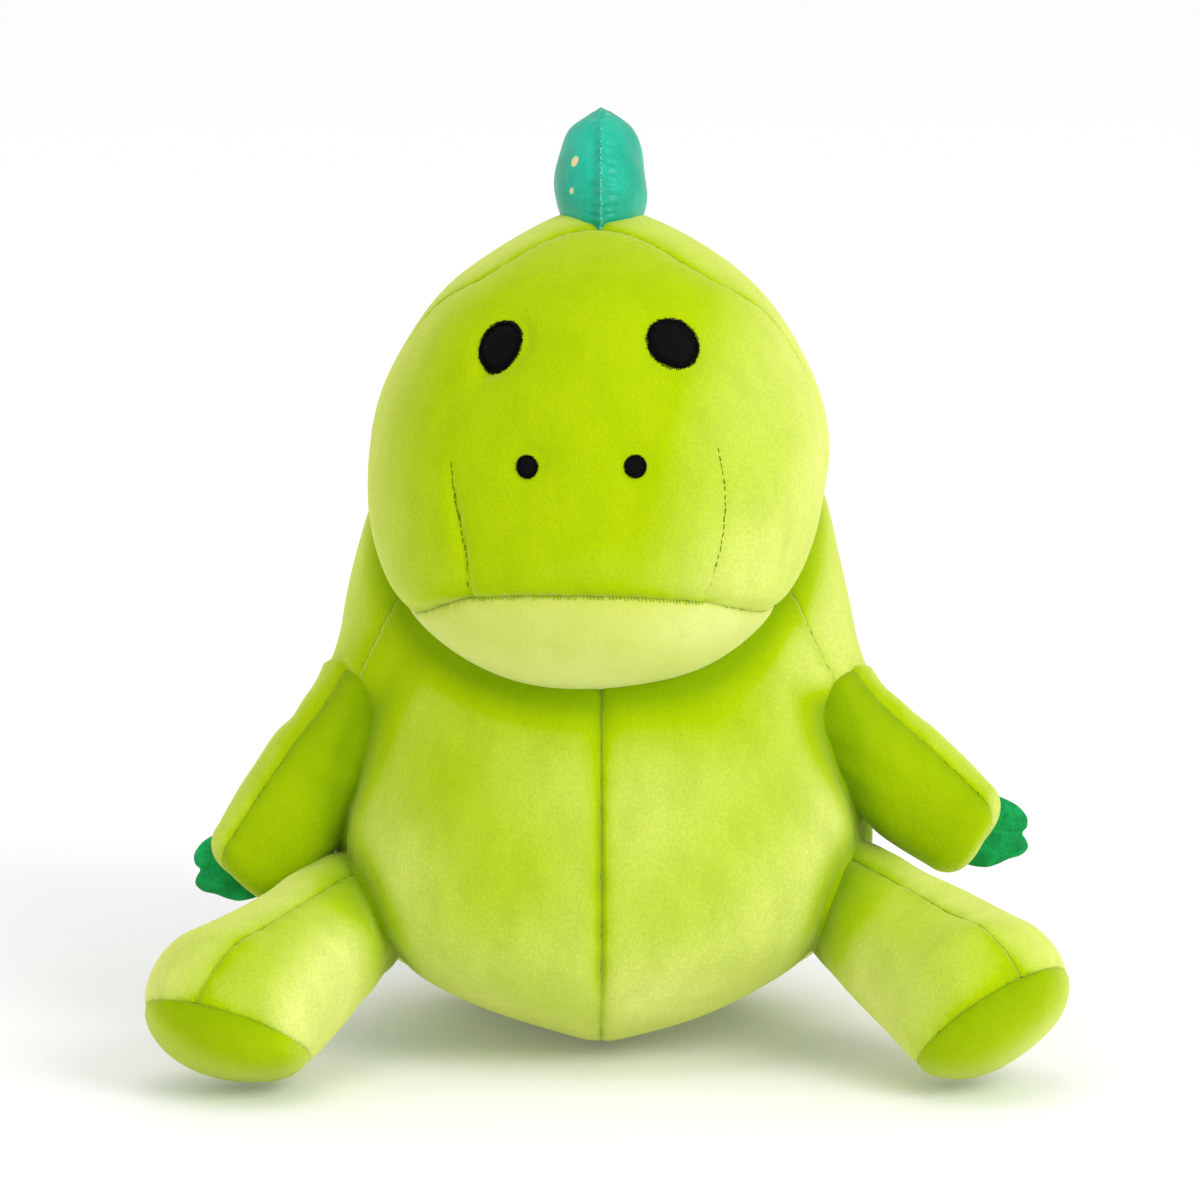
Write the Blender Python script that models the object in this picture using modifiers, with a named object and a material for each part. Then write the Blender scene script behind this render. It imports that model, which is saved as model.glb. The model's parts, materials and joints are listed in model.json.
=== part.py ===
"""A seated stuffed dinosaur: velour skin panels, stuffing, felt claws and satin back spikes.

Metres, +Z up. The toy faces -Y and sits on the plane z = 0. Head, arms, legs and tail are
stuffed forms with round roots that turn in matching hollows of the torso's stuffing.
"""

from math import acos, atan2, cos, exp, hypot, pi, radians, sin, sqrt

import bmesh
import bpy
from mathutils import Matrix, Vector

# ---------------------------------------------------------------- driving dimensions (metres)
CLOTH = 0.0016             # velour panel thickness
SATIN = 0.0009             # spike cloth thickness
POUCH_CLOTH = 0.0010       # pellet pouch cloth thickness
GAP = 0.0004               # clearance between pieces that touch
SEAM = 0.0005              # gap between two panels at a seam
TRIM = 0.00005             # how much of a panel's cut edge is trimmed square
BLOCK = 1.0                # side of the trimming blocks
SOCKET_GAP = 0.0016        # clearance round a turning root

HEAD_CENTRE = Vector((0.0, -0.028, 0.196))
HEAD_TURN = radians(-5)    # the face looks a little to its own right
HEAD_RADIUS = 0.0715       # side-view radius of skull and nape
HEAD_HALF_WIDTH = 0.0745
CHIN_BULGE = 0.0105        # how far the jaw swells past the ball
CHIN_ANGLE = radians(-50)  # direction of the jaw below straight ahead
CHIN_SPREAD = radians(65)
CHIN_SQUARE = 0.20         # how much squarer the jaw is than an ellipse
FACE_SEAM_Y = -0.022       # face to back-of-head seam, from the head's centre
MOUTH_Z = -0.037           # mouth seam height at MOUTH_Y, from the head's centre
MOUTH_Y = -0.069
MOUTH_SLOPE = 0.255        # the mouth seam drops this much per metre towards the ears

EYE_X, EYE_ANGLE, EYE_RADIUS = 0.028, radians(39), 0.0085
NOSTRIL_X, NOSTRIL_ANGLE, NOSTRIL_RADIUS = 0.0172, radians(4.5), 0.0037
STITCHED_HEIGHT = 0.0010   # how far the embroidery stands above the cloth

# Torso rings from the seat up: height, half width, front y, back y.
TORSO_RINGS = (
    (0.000, 0.000, 0.000, 0.004),
    (0.000, 0.046, -0.050, 0.050),
    (0.014, 0.071, -0.073, 0.064),
    (0.038, 0.0855, -0.084, 0.073),
    (0.066, 0.0895, -0.086, 0.075),
    (0.098, 0.0865, -0.079, 0.071),
    (0.130, 0.0840, -0.067, 0.064),
    (0.158, 0.0780, -0.056, 0.057),
    (0.182, 0.0700, -0.044, 0.050),
    (0.200, 0.0520, -0.030, 0.043),
    (0.206, 0.0000, 0.000, 0.010),
)
SIDE_SEAM_Y = -0.032       # belly to back seam plane

POUCH_CENTRE = Vector((0.0, -0.010, 0.0205))
POUCH_HALF = Vector((0.039, 0.038, 0.0180))
WAY_IN = 0.94              # opening under the pouch, over the pouch's own width

# Limbs: root centre and end centre for each side, then root, middle and end radius.
ARM_RADII = (0.0210, 0.0190, 0.0140)
ARM_FLAT = 0.84            # front-to-back thickness over height at the hand
ARMS = {
    "left": (Vector((-0.075, -0.022, 0.108)), Vector((-0.1080, -0.0310, 0.0625))),
    "right": (Vector((0.075, -0.022, 0.108)), Vector((0.1135, -0.0340, 0.0745))),
}
ARM_FLARE = 0.06           # extra room round the arm per metre from its root
LEG_RADII = (0.0270, 0.0265, 0.0300)
LEG_SEGMENTS = 14
LEGS = {
    "left": (Vector((-0.072, -0.028, 0.0335)), Vector((-0.1165, -0.0855, 0.0275))),
    "right": (Vector((0.072, -0.028, 0.0335)), Vector((0.1190, -0.0800, 0.0275))),
}
LEG_FLARE = 0.18
SOLE_TILT = radians(48)    # the sole looks this far below straight ahead
SOLE_DISTANCE = 0.0195     # foot centre to sole
SOLE_DOME = 0.0025
TAIL_ROOT, TAIL_END = Vector((0.0, 0.062, 0.031)), Vector((0.0, 0.104, 0.0150))
TAIL_RADII = (0.0270, 0.0205, 0.0105)
TAIL_FLARE = 0.27

CLAW_THICKNESS = 0.0028
CLAW_LENGTH = 0.0140
CLAW_SPREAD = 0.0062       # centre line of each lobe above and below the hand's axis
CLAW_NOTCH = 0.80          # where the notch between the lobes starts, over the claw's length

# Spikes from crown to tail: owner, foot (y, z), lean from upright in degrees, height, length.
SPIKES = (
    ("head", (-0.0060, 0.2640), 0, 0.0380, 0.0400),
    ("head", (0.0270, 0.2420), 44, 0.0360, 0.0400),
    ("torso", (0.0500, 0.1660), 72, 0.0370, 0.0420),
    ("torso", (0.0640, 0.1180), 80, 0.0380, 0.0440),
    ("torso", (0.0700, 0.0740), 86, 0.0330, 0.0380),
    ("tail", (0.0960, 0.0330), 28, 0.0230, 0.0280),
)
SPIKE_HALF_THICKNESS = 0.36  # of its height
SPIKE_ROOT = 0.0060          # depth of the spike below its foot, trimmed to the body

COLOURS = {
    "velour_lime": ((0.46, 0.62, 0.02), 0.85),
    "velour_pale": ((0.58, 0.68, 0.12), 0.85),
    "satin_teal": ((0.01, 0.38, 0.26), 0.28),
    "felt_green": ((0.01, 0.20, 0.08), 0.95),
    "thread_black": ((0.005, 0.005, 0.005), 0.45),
    "fibre_white": ((0.80, 0.80, 0.78), 0.95),
    "pouch_cloth": ((0.70, 0.70, 0.66), 0.90),
    "pellets": ((0.75, 0.77, 0.80), 0.50),
}


# ---------------------------------------------------------------- scene, collections, materials
def clear_scene():
    for obj in list(bpy.data.objects):
        bpy.data.objects.remove(obj, do_unlink=True)


def new_collection(name):
    collection = bpy.data.collections.new(name)
    bpy.context.scene.collection.children.link(collection)
    return collection


def make_materials():
    made = {}
    for name, (colour, roughness) in COLOURS.items():
        material = bpy.data.materials.new(name)
        material.use_nodes = True
        shader = material.node_tree.nodes["Principled BSDF"]
        shader.inputs["Base Color"].default_value = (*colour, 1)
        shader.inputs["Roughness"].default_value = roughness
        shader.inputs["Metallic"].default_value = 0
        material.diffuse_color = (*colour, 1)
        made[name] = material
    return made


clear_scene()
PARTS = new_collection("stuffed_dinosaur")
CUTTERS = new_collection("cutters")
CUTTERS.hide_render = True
MATERIALS = make_materials()


def object_of(name, bm, collection=None, material=None, pivot=None):
    """An object from a bmesh in world space, with its origin at its pivot empty."""
    if pivot is not None:
        bm.transform(pivot.matrix_world.inverted())
    mesh = bpy.data.meshes.new(name)
    bm.to_mesh(mesh)
    bm.free()
    mesh.shade_smooth()
    mesh.set_sharp_from_angle(angle=radians(40))
    obj = bpy.data.objects.new(name, mesh)
    (collection or PARTS).objects.link(obj)
    if material:
        mesh.materials.append(MATERIALS[material])
    if pivot is not None:
        obj.parent = pivot
    return obj


def pivot_at(name, place, turn=0.0):
    empty = bpy.data.objects.new(name, None)
    empty.location = place
    empty.rotation_euler = (0, 0, turn)
    empty.empty_display_size = 0.02
    PARTS.objects.link(empty)
    bpy.context.view_layer.update()
    return empty


def cutter_of(name, bm):
    cutter = object_of(name, bm, CUTTERS)
    cutter.hide_render = True
    cutter.display_type = "WIRE"
    return cutter


# ---------------------------------------------------------------- forms
def unit_ball(segments, rings):
    bm = bmesh.new()
    bmesh.ops.create_uvsphere(bm, u_segments=segments, v_segments=rings, radius=1)
    return bm


def settled(bm):
    """A finished form in triangles, so that skin and stuffing share the same facets."""
    bmesh.ops.triangulate(bm, faces=bm.faces)
    bm.normal_update()
    return bm


def grown(bm, distance):
    """The same closed form with every face moved out by the distance."""
    bm.normal_update()
    moved = [
        (vert, vert.co + vert.normal * distance * vert.calc_shell_factor()) for vert in bm.verts
    ]
    for vert, place in moved:
        vert.co = place
    bm.normal_update()
    return bm


def smooth_row(rows, place):
    """Catmull-Rom value of a list of rows at a place from 0 to 1."""
    span = min(max(place, 0.0), 1.0) * (len(rows) - 1)
    index = min(int(span), len(rows) - 2)
    t = span - index
    before = rows[max(index - 1, 0)]
    start, end = rows[index], rows[index + 1]
    after = rows[min(index + 2, len(rows) - 1)]
    return [
        b + 0.5 * t * (c - a + t * (2 * a - 5 * b + 4 * c - d + t * (3 * (b - c) + d - a)))
        for a, b, c, d in zip(before, start, end, after)
    ]


def chin_share(angle):
    """1 in the middle of the jaw, 0 away from it."""
    away = (angle - CHIN_ANGLE + pi) % (2 * pi) - pi
    share = away / CHIN_SPREAD
    return cos(share * pi / 2) ** 2 if abs(share) < 1 else 0.0


def head_surface(angle, across):
    """Head-local point: angle above straight ahead, across from 0 (right side) to pi (left)."""
    chin = chin_share(angle)
    reach = HEAD_RADIUS + CHIN_BULGE * chin
    radius = reach * max(sin(across), 0.0) ** (1 - CHIN_SQUARE * chin)
    return Vector((HEAD_HALF_WIDTH * cos(across), -radius * cos(angle), radius * sin(angle)))


def head_matrix():
    return Matrix.Translation(HEAD_CENTRE) @ Matrix.Rotation(HEAD_TURN, 4, "Z")


def head_form(segments=24, rings=12):
    bm = unit_ball(segments, rings)
    for vert in bm.verts:
        x, y, z = vert.co.z, vert.co.x, vert.co.y
        vert.co = head_surface(atan2(z, -y), acos(max(-1.0, min(1.0, x))))
    bm.transform(head_matrix())
    return settled(bm)


def torso_form(segments=24, rings=14):
    bm = unit_ball(segments, rings)
    for vert in bm.verts:
        around = atan2(vert.co.y, vert.co.x)
        rise = acos(max(-1.0, min(1.0, -vert.co.z))) / pi
        height, half_width, front, back = smooth_row(TORSO_RINGS, rise)
        half_depth = max((back - front) / 2, 0.0) if half_width > 1e-4 else 0.0
        vert.co = Vector((
            half_width * cos(around),
            (front + back) / 2 + half_depth * sin(around),
            max(height, 0.0),
        ))
    return settled(bm)


def limb_frame(root, end):
    """Rotation whose Z runs along the limb and whose Y is as level as it can be."""
    along = (end - root).normalized()
    level = Vector((-along.y, along.x, 0)).normalized()
    return Matrix((level.cross(along), level, along)).transposed().to_4x4()


def limb_form(root, end, radii, flat=1.0, segments=12, rings=10):
    """A stuffed tube: a true half ball at the root, a waisted middle and a round end."""
    root_radius, mid_radius, end_radius = radii
    length = (end - root).length
    bm = unit_ball(segments, rings)
    for vert in bm.verts:
        around = atan2(vert.co.y, vert.co.x)
        place = acos(max(-1.0, min(1.0, -vert.co.z))) / pi
        if place < 0.4:
            turn = place / 0.4 * pi / 2
            along, radius = -root_radius * cos(turn), root_radius * sin(turn)
        elif place < 0.7:
            t = (place - 0.4) / 0.3
            along = t * length
            radius = (1 - t) ** 2 * root_radius + 2 * t * (1 - t) * mid_radius + t * t * end_radius
        else:
            turn = (place - 0.7) / 0.3 * pi / 2
            along, radius = length + end_radius * sin(turn), end_radius * cos(turn)
        squash = 1 + (flat - 1) * min(max(along / length, 0.0), 1.0)
        vert.co = Vector((radius * cos(around), squash * radius * sin(around), along))
    bm.transform(Matrix.Translation(root) @ limb_frame(root, end))
    return settled(bm)


def room_form(root, end, radii, flare, segments=12):
    """The hollow round a turning limb: its own form, wider by the gap and by how far it swings."""
    reach = (end - root).length * flare
    wider = (radii[0] + SOCKET_GAP, radii[1] + SOCKET_GAP + reach / 2, radii[2] + SOCKET_GAP + reach)
    return limb_form(root, end, wider, segments=segments)


def arm_form(side):
    return limb_form(*ARMS[side], ARM_RADII, ARM_FLAT)


def sole_normal(side):
    root, end = LEGS[side]
    ahead = Vector((end.x - root.x, end.y - root.y, 0)).normalized()
    return ahead * cos(SOLE_TILT) - Vector((0, 0, sin(SOLE_TILT)))


def leg_form(side):
    """A leg tube whose end is pressed to a slanting, slightly domed sole and to the floor."""
    bm = limb_form(*LEGS[side], LEG_RADII, segments=LEG_SEGMENTS)
    end, normal = LEGS[side][1], sole_normal(side)
    for vert in bm.verts:
        beyond = (vert.co - end).dot(normal) - SOLE_DISTANCE
        if beyond > 0:
            dome = SOLE_DOME * beyond / (LEG_RADII[2] - SOLE_DISTANCE)
            vert.co -= normal * (beyond - dome)
        vert.co.z = max(vert.co.z, 0.0)
    return settled(bm)


def tail_form():
    bm = limb_form(TAIL_ROOT, TAIL_END, TAIL_RADII)
    for vert in bm.verts:
        vert.co.z = max(vert.co.z, 0.0)
    return settled(bm)


def pouch_form():
    bm = unit_ball(16, 8)
    bm.transform(Matrix.Translation(POUCH_CENTRE) @ Matrix.Diagonal((*POUCH_HALF, 1)))
    return settled(bm)


def spike_form(foot, lean, height, length):
    """A plump shark-fin: long from front to back, pointed at the top, seamed in the mid plane."""
    bm = unit_ball(10, 6)
    for vert in bm.verts:
        around = atan2(vert.co.y, vert.co.x)
        place = acos(max(-1.0, min(1.0, -vert.co.z))) / pi
        rise = -SPIKE_ROOT + (height + SPIKE_ROOT) * place
        girth = sin(pi * (0.16 + 0.84 * place)) ** 0.62 if place > 0 else 0.0
        half_length = length / 2 * girth
        half_thick = height * SPIKE_HALF_THICKNESS * girth ** 1.25
        side = cos(around)
        vert.co = Vector((half_thick * side * abs(side) ** 0.25, half_length * sin(around), rise))
    bm.transform(
        Matrix.Translation(Vector((0, foot[0], foot[1])))
        @ Matrix.Rotation(-radians(lean), 4, "X")
    )
    return settled(bm)


# ---------------------------------------------------------------- panels and solids
def keep_side(bm, point, normal):
    """Cuts the open or closed surface by a plane and keeps what lies behind its normal."""
    bmesh.ops.bisect_plane(
        bm, geom=bm.verts[:] + bm.edges[:] + bm.faces[:], dist=1e-6,
        plane_co=point, plane_no=normal, clear_outer=True,
    )


def seam_block(name, point, normal):
    """A block beyond a seam plane, which trims the inner edge of a thickened panel."""
    bm = bmesh.new()
    bmesh.ops.create_cube(bm, size=BLOCK)
    bm.transform(normal.to_track_quat("Z", "Y").to_matrix().to_4x4())
    bm.transform(Matrix.Translation(point + normal * (BLOCK / 2 - TRIM)))
    return cutter_of(name, bm)


def panel(name, bm, planes, material, pivot, thickness=CLOTH):
    """A cloth panel: part of a form's skin between seam planes, thickened inwards."""
    for point, normal in planes:
        keep_side(bm, point, normal)
    obj = object_of(name, bm, material=material, pivot=pivot)
    cloth = obj.modifiers.new("cloth", "SOLIDIFY")
    cloth.thickness = thickness
    cloth.offset = -1
    cloth.use_even_offset = True
    for number, (point, normal) in enumerate(planes):
        cut(obj, seam_block(f"{name}_seam_{number}", point, normal))
    return obj


def cut(obj, *cutters):
    """Cuts with the MANIFOLD solver: EXACT leaves holes where sockets graze a thin panel."""
    for cutter in cutters:
        modifier = obj.modifiers.new(f"cut_{cutter.name}", "BOOLEAN")
        modifier.operation = "DIFFERENCE"
        modifier.solver = "MANIFOLD"
        modifier.object = cutter


def seam_planes(point, normal):
    """The two planes either side of a seam, each keeping its own side."""
    point, normal = Vector(point), Vector(normal).normalized()
    half = normal * SEAM / 2
    return (point - half, normal), (point + half, -normal)


# ---------------------------------------------------------------- head
def head_local(point):
    return head_matrix() @ Vector(point)


def head_turned(direction):
    return Matrix.Rotation(HEAD_TURN, 3, "Z") @ Vector(direction)


def stitched_disc(name, x, angle, radius, cutter, pivot):
    """A padded satin-stitch disc that lies on the face."""
    across = acos(x / HEAD_HALF_WIDTH)
    centre = head_surface(angle, across)
    step = 0.01
    sideways = head_surface(angle, across - step) - head_surface(angle, across + step)
    upward = head_surface(angle + step, across) - head_surface(angle - step, across)
    normal = upward.cross(sideways).normalized()
    if normal.y > 0:
        normal.negate()
    bm = unit_ball(12, 4)
    bm.transform(Matrix.Diagonal((radius, radius, STITCHED_HEIGHT + 0.0016, 1)))
    bm.transform(normal.to_track_quat("Z", "Y").to_matrix().to_4x4())
    bm.transform(head_matrix() @ Matrix.Translation(centre))
    disc = object_of(name, bm, material="thread_black", pivot=pivot)
    cut(disc, cutter)


def make_head(pivot, skin_cutter):
    face, behind = seam_planes(head_local((0, FACE_SEAM_Y, 0)), head_turned((0, 1, 0)))
    mouth_point = head_local((0, MOUTH_Y, MOUTH_Z))
    over, under = seam_planes(mouth_point, head_turned((0, -MOUTH_SLOPE, -1)))
    left, right = seam_planes(HEAD_CENTRE, head_turned((1, 0, 0)))
    panel("face_panel", head_form(), (face, over), "velour_lime", pivot)
    panel("chin_panel", head_form(), (face, under), "velour_pale", pivot)
    panel("head_back_left", head_form(), (behind, left), "velour_lime", pivot)
    panel("head_back_right", head_form(), (behind, right), "velour_lime", pivot)
    filling = grown(head_form(), -(CLOTH + GAP))
    object_of("head_filling", filling, material="fibre_white", pivot=pivot)
    for side, sign in (("left", -1), ("right", 1)):
        spots = (("eye", EYE_X, EYE_ANGLE, EYE_RADIUS),
                 ("nostril", NOSTRIL_X, NOSTRIL_ANGLE, NOSTRIL_RADIUS))
        for name, x, angle, radius in spots:
            stitched_disc(f"{name}_{side}", sign * x, angle, radius, skin_cutter, pivot)


# ---------------------------------------------------------------- torso
def make_torso(pivot, sockets):
    belly, back = seam_planes((0, SIDE_SEAM_Y, 0), (0, 1, 0))
    left, right = seam_planes((0, 0, 0), (1, 0, 0))
    for name, planes in (
        ("belly_left", (belly, left)),
        ("belly_right", (belly, right)),
        ("back_left", (back, left)),
        ("back_right", (back, right)),
    ):
        cut(panel(name, torso_form(), planes, "velour_lime", pivot), *sockets)
    recess = cutter_of("pouch_recess", grown(pouch_form(), GAP))
    shaft = bmesh.new()
    bmesh.ops.create_cone(
        shaft, cap_ends=True, segments=20, radius1=1, radius2=1, depth=POUCH_CENTRE.z + 0.01
    )
    shaft.transform(
        Matrix.Translation((POUCH_CENTRE.x, POUCH_CENTRE.y, POUCH_CENTRE.z / 2 - 0.005))
        @ Matrix.Diagonal((POUCH_HALF.x * WAY_IN, POUCH_HALF.y * WAY_IN, 1, 1))
    )
    way_in = cutter_of("pouch_way_in", shaft)
    filling = grown(torso_form(), -(CLOTH + GAP))
    torso = object_of("torso_filling", filling, material="fibre_white", pivot=pivot)
    cut(torso, *sockets, recess, way_in)


def make_pouch(pivot):
    lower, upper = seam_planes(POUCH_CENTRE, (0, 0, 1))
    panel("pouch_bottom", pouch_form(), (lower,), "pouch_cloth", pivot, POUCH_CLOTH)
    panel("pouch_top", pouch_form(), (upper,), "pouch_cloth", pivot, POUCH_CLOTH)
    pellets = grown(pouch_form(), -(POUCH_CLOTH + GAP))
    object_of("pellets", pellets, material="pellets", pivot=pivot)


# ---------------------------------------------------------------- limbs
def filled_limb(name, make, planes_of, pivot):
    """The named panels of a limb and the stuffing that they hold."""
    for part, planes, material in planes_of:
        panel(f"{name}_{part}", make(), planes, material, pivot)
    filling = grown(make(), -(CLOTH + GAP))
    object_of(f"{name}_filling", filling, material="fibre_white", pivot=pivot)


def make_arm(side, pivot):
    root, end = ARMS[side]
    level = limb_frame(root, end).to_3x3() @ Vector((0, 1, 0))
    if level.y > 0:
        level.negate()
    behind, front = seam_planes(root, level)
    parts = (("front", (front,), "velour_lime"), ("back", (behind,), "velour_lime"))
    filled_limb(f"{side}_arm", lambda: arm_form(side), parts, pivot)


def claw_outline(reach):
    """Half-claw points in the hand's plane, from its inner corner round one rounded lobe."""
    points = [Vector((sqrt(reach ** 2 - (2 * CLAW_SPREAD) ** 2), 2 * CLAW_SPREAD))]
    for step in range(9):
        turn = radians(100 - 25 * step)
        points.append(Vector((
            reach + CLAW_LENGTH - CLAW_SPREAD * 0.95 + CLAW_SPREAD * 0.95 * cos(turn),
            CLAW_SPREAD * (1 + 0.92 * sin(turn)),
        )))
    points = [point for point in points if point.y > 0]
    points.append(Vector((reach + CLAW_LENGTH * CLAW_NOTCH, 0)))
    return points


def make_claw(side, pivot):
    """Two felt lobes whose inner edge follows the round end of the hand."""
    root, end = ARMS[side]
    along = (end - root).normalized()
    out = Vector((along.x, along.y * 0.5, along.z * 0.35)).normalized()
    reach = ARM_RADII[2] + GAP
    half = claw_outline(reach)
    lower = [Vector((point.x, -point.y)) for point in reversed(half[:-1])]
    inner = [
        Vector((reach * cos(turn), reach * sin(turn)))
        for turn in (radians(-50 + 20 * step) for step in range(6))
    ]
    curve = bpy.data.curves.new(f"{side}_claw", "CURVE")
    curve.dimensions = "2D"
    curve.fill_mode = "BOTH"
    curve.extrude = CLAW_THICKNESS / 2
    spline = curve.splines.new("POLY")
    outline = half + lower + inner
    spline.points.add(len(outline) - 1)
    for point, place in zip(spline.points, outline):
        point.co = (place.x, place.y, 0, 1)
    spline.use_cyclic_u = True
    guide = bpy.data.objects.new(f"{side}_claw_guide", curve)
    CUTTERS.objects.link(guide)
    bpy.context.view_layer.update()
    graph = bpy.context.evaluated_depsgraph_get()
    mesh = bpy.data.meshes.new_from_object(guide.evaluated_get(graph))
    bpy.data.objects.remove(guide, do_unlink=True)
    bm = bmesh.new()
    bm.from_mesh(mesh)
    bpy.data.meshes.remove(mesh)
    bmesh.ops.remove_doubles(bm, verts=bm.verts, dist=1e-5)
    up = (Vector((0, 0, 1)) - out * out.z).normalized()
    frame = Matrix((out, up, out.cross(up))).transposed().to_4x4()
    bm.transform(Matrix.Translation(end) @ frame)
    bmesh.ops.recalc_face_normals(bm, faces=bm.faces)
    if bm.calc_volume(signed=True) < 0:
        bmesh.ops.reverse_faces(bm, faces=bm.faces)
    object_of(f"{side}_claws", bm, material="felt_green", pivot=pivot)


def make_leg(side, pivot):
    root, end = LEGS[side]
    ahead = Vector((end.x - root.x, end.y - root.y, 0)).normalized()
    outward = Vector((-ahead.y, ahead.x, 0))
    if outward.x * root.x < 0:
        outward.negate()
    normal = sole_normal(side)
    rim = end + normal * (SOLE_DISTANCE - 0.0015)
    upper, sole = seam_planes(rim, normal)
    inner, outer = seam_planes(root, outward)
    parts = (
        ("inner", (upper, inner), "velour_lime"),
        ("outer", (upper, outer), "velour_lime"),
        ("sole", (sole,), "velour_lime"),
    )
    filled_limb(f"{side}_leg", lambda: leg_form(side), parts, pivot)


def make_tail(pivot):
    left, right = seam_planes((0, 0, 0), (1, 0, 0))
    parts = (("left", (left,), "velour_lime"), ("right", (right,), "velour_lime"))
    filled_limb("tail", tail_form, parts, pivot)


# ---------------------------------------------------------------- spikes
def make_spike(number, shape, pivot, cutter):
    left, right = seam_planes((0, 0, 0), (1, 0, 0))
    name = f"spike_{number}"
    hollow = cutter_of(f"{name}_hollow", grown(spike_form(*shape), -SATIN))
    for side, (point, normal) in (("left", left), ("right", right)):
        cloth = object_of(f"{name}_{side}", spike_form(*shape), material="satin_teal", pivot=pivot)
        cut(cloth, hollow, seam_block(f"{name}_{side}_seam", point, normal), cutter)
    filling = grown(spike_form(*shape), -(SATIN + GAP))
    cut(object_of(f"{name}_filling", filling, material="fibre_white", pivot=pivot), cutter)


def main():
    head = pivot_at("head_pivot", HEAD_CENTRE, HEAD_TURN)
    torso = pivot_at("torso_pivot", Vector((0, 0, 0)))
    tail = pivot_at("tail_pivot", TAIL_ROOT)
    pivots = {"head": head, "torso": torso, "tail": tail}
    sockets = [
        cutter_of("head_room", grown(head_form(), SOCKET_GAP / 2)),
        cutter_of("tail_room", room_form(TAIL_ROOT, TAIL_END, TAIL_RADII, TAIL_FLARE)),
    ]
    for side in ("left", "right"):
        arm_room = room_form(*ARMS[side], ARM_RADII, ARM_FLARE)
        leg_room = room_form(*LEGS[side], LEG_RADII, LEG_FLARE, LEG_SEGMENTS)
        sockets += [cutter_of(f"{side}_arm_room", arm_room), cutter_of(f"{side}_leg_room", leg_room)]
    skins = {
        "head": cutter_of("head_skin", grown(head_form(), GAP)),
        "torso": cutter_of("torso_skin", grown(torso_form(), GAP)),
        "tail": cutter_of("tail_skin", grown(tail_form(), GAP)),
    }
    make_torso(torso, sockets)
    make_pouch(torso)
    make_head(head, skins["head"])
    for side in ("left", "right"):
        arm = pivot_at(f"{side}_arm_pivot", ARMS[side][0])
        make_arm(side, arm)
        make_claw(side, arm)
        make_leg(side, pivot_at(f"{side}_leg_pivot", LEGS[side][0]))
    make_tail(tail)
    for number, (owner, *shape) in enumerate(SPIKES, start=1):
        make_spike(number, shape, pivots[owner], skins[owner])


main()
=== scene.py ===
"""Seated stuffed dinosaur: velour skin in panels, stitched seams, satin spikes and felt claws.

Every skin starts as a ball of quads that is warped to its form, swollen by a cloth simulation
with its seams held, refined, cut into panels along its seams, and given its stitched creases.
"""

import json
from math import cos, pi, radians, sin

import bmesh
import bpy
import numpy as np
from mathutils import Matrix, Vector
from mathutils.bvhtree import BVHTree


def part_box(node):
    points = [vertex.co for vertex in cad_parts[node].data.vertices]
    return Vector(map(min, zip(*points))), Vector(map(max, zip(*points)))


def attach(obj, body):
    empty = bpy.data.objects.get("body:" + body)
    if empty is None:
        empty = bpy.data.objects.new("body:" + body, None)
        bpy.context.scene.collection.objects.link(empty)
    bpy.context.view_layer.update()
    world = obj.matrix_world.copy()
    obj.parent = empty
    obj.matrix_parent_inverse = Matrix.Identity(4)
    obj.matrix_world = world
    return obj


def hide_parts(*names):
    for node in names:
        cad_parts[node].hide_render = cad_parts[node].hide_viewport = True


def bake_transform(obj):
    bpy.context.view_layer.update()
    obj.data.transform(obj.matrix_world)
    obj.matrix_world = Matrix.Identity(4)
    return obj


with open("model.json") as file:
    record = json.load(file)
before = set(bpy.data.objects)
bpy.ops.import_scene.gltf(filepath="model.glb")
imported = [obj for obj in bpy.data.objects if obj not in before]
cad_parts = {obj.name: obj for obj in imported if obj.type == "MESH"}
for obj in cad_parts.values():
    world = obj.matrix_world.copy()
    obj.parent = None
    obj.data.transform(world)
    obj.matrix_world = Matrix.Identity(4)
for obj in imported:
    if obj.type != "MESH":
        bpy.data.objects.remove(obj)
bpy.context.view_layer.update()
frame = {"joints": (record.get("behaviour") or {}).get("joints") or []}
SCENE = bpy.context.scene
JOINTS = {joint["name"]: joint for joint in frame["joints"]}

# ---------------------------------------------------------------- driving dimensions
# Metres and radians where a line doesn't say otherwise.
CLOTH = 0.0011             # thickness of the velour shells
SATIN = 0.0006
STUFFING_INSET = 0.0042    # the stuffing lies this far under the skin
SPIKE_STUFFING_INSET = 0.0022
FLOOR_GAP = 0.0002         # limbs and tail lie this far above the floor
THREAD_RADIUS = 0.00020
DART_THREAD_RADIUS = 0.00030
TUFT_RADIUS = 0.00024
SATIN_THREAD_RADIUS = 0.00026
SINK = 0.00018             # how far a thread lies in the pile

HEAD_CENTRE = Vector(JOINTS["head_nod"]["pos_m"])
HEAD_TURN = radians(-5)
HEAD_RADIUS = 0.0720
HEAD_HALF_WIDTH = 0.0738
HEAD_NARROWING = 0.042      # how much narrower the brow is than the cheeks
HEAD_LEAN = 0.020           # sideways drift of the crown per metre of height
CHIN_BULGE = 0.0105
CHIN_ANGLE = radians(-50)
CHIN_SPREAD = radians(65)
CHIN_SQUARE = 0.20
CROWN_PEAK = 0.0045        # the crown seam draws the cloth up into a low peak
FACE_SEAM_Y = -0.015
MOUTH_DROOP = 0.0045        # how far the mouth seam sinks beyond the darts
MOUTH = (0.0, -0.069, -0.037)
MOUTH_SLOPE = 0.255
DART_X = {-1: 0.0362, 1: 0.0385}     # darts at the mouth seam, from the middle of the face
DART_TOP = {-1: 0.0065, 1: 0.0110}
DART_SPREAD = 0.0056       # how much further out a dart is halfway up
DART_DEPTH = 0.0022
DART_WIDTH = 0.0013
LIP_HEIGHT = 0.0011        # fullness of the face just over the mouth seam
CHIN_HEIGHT = 0.0010
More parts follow.
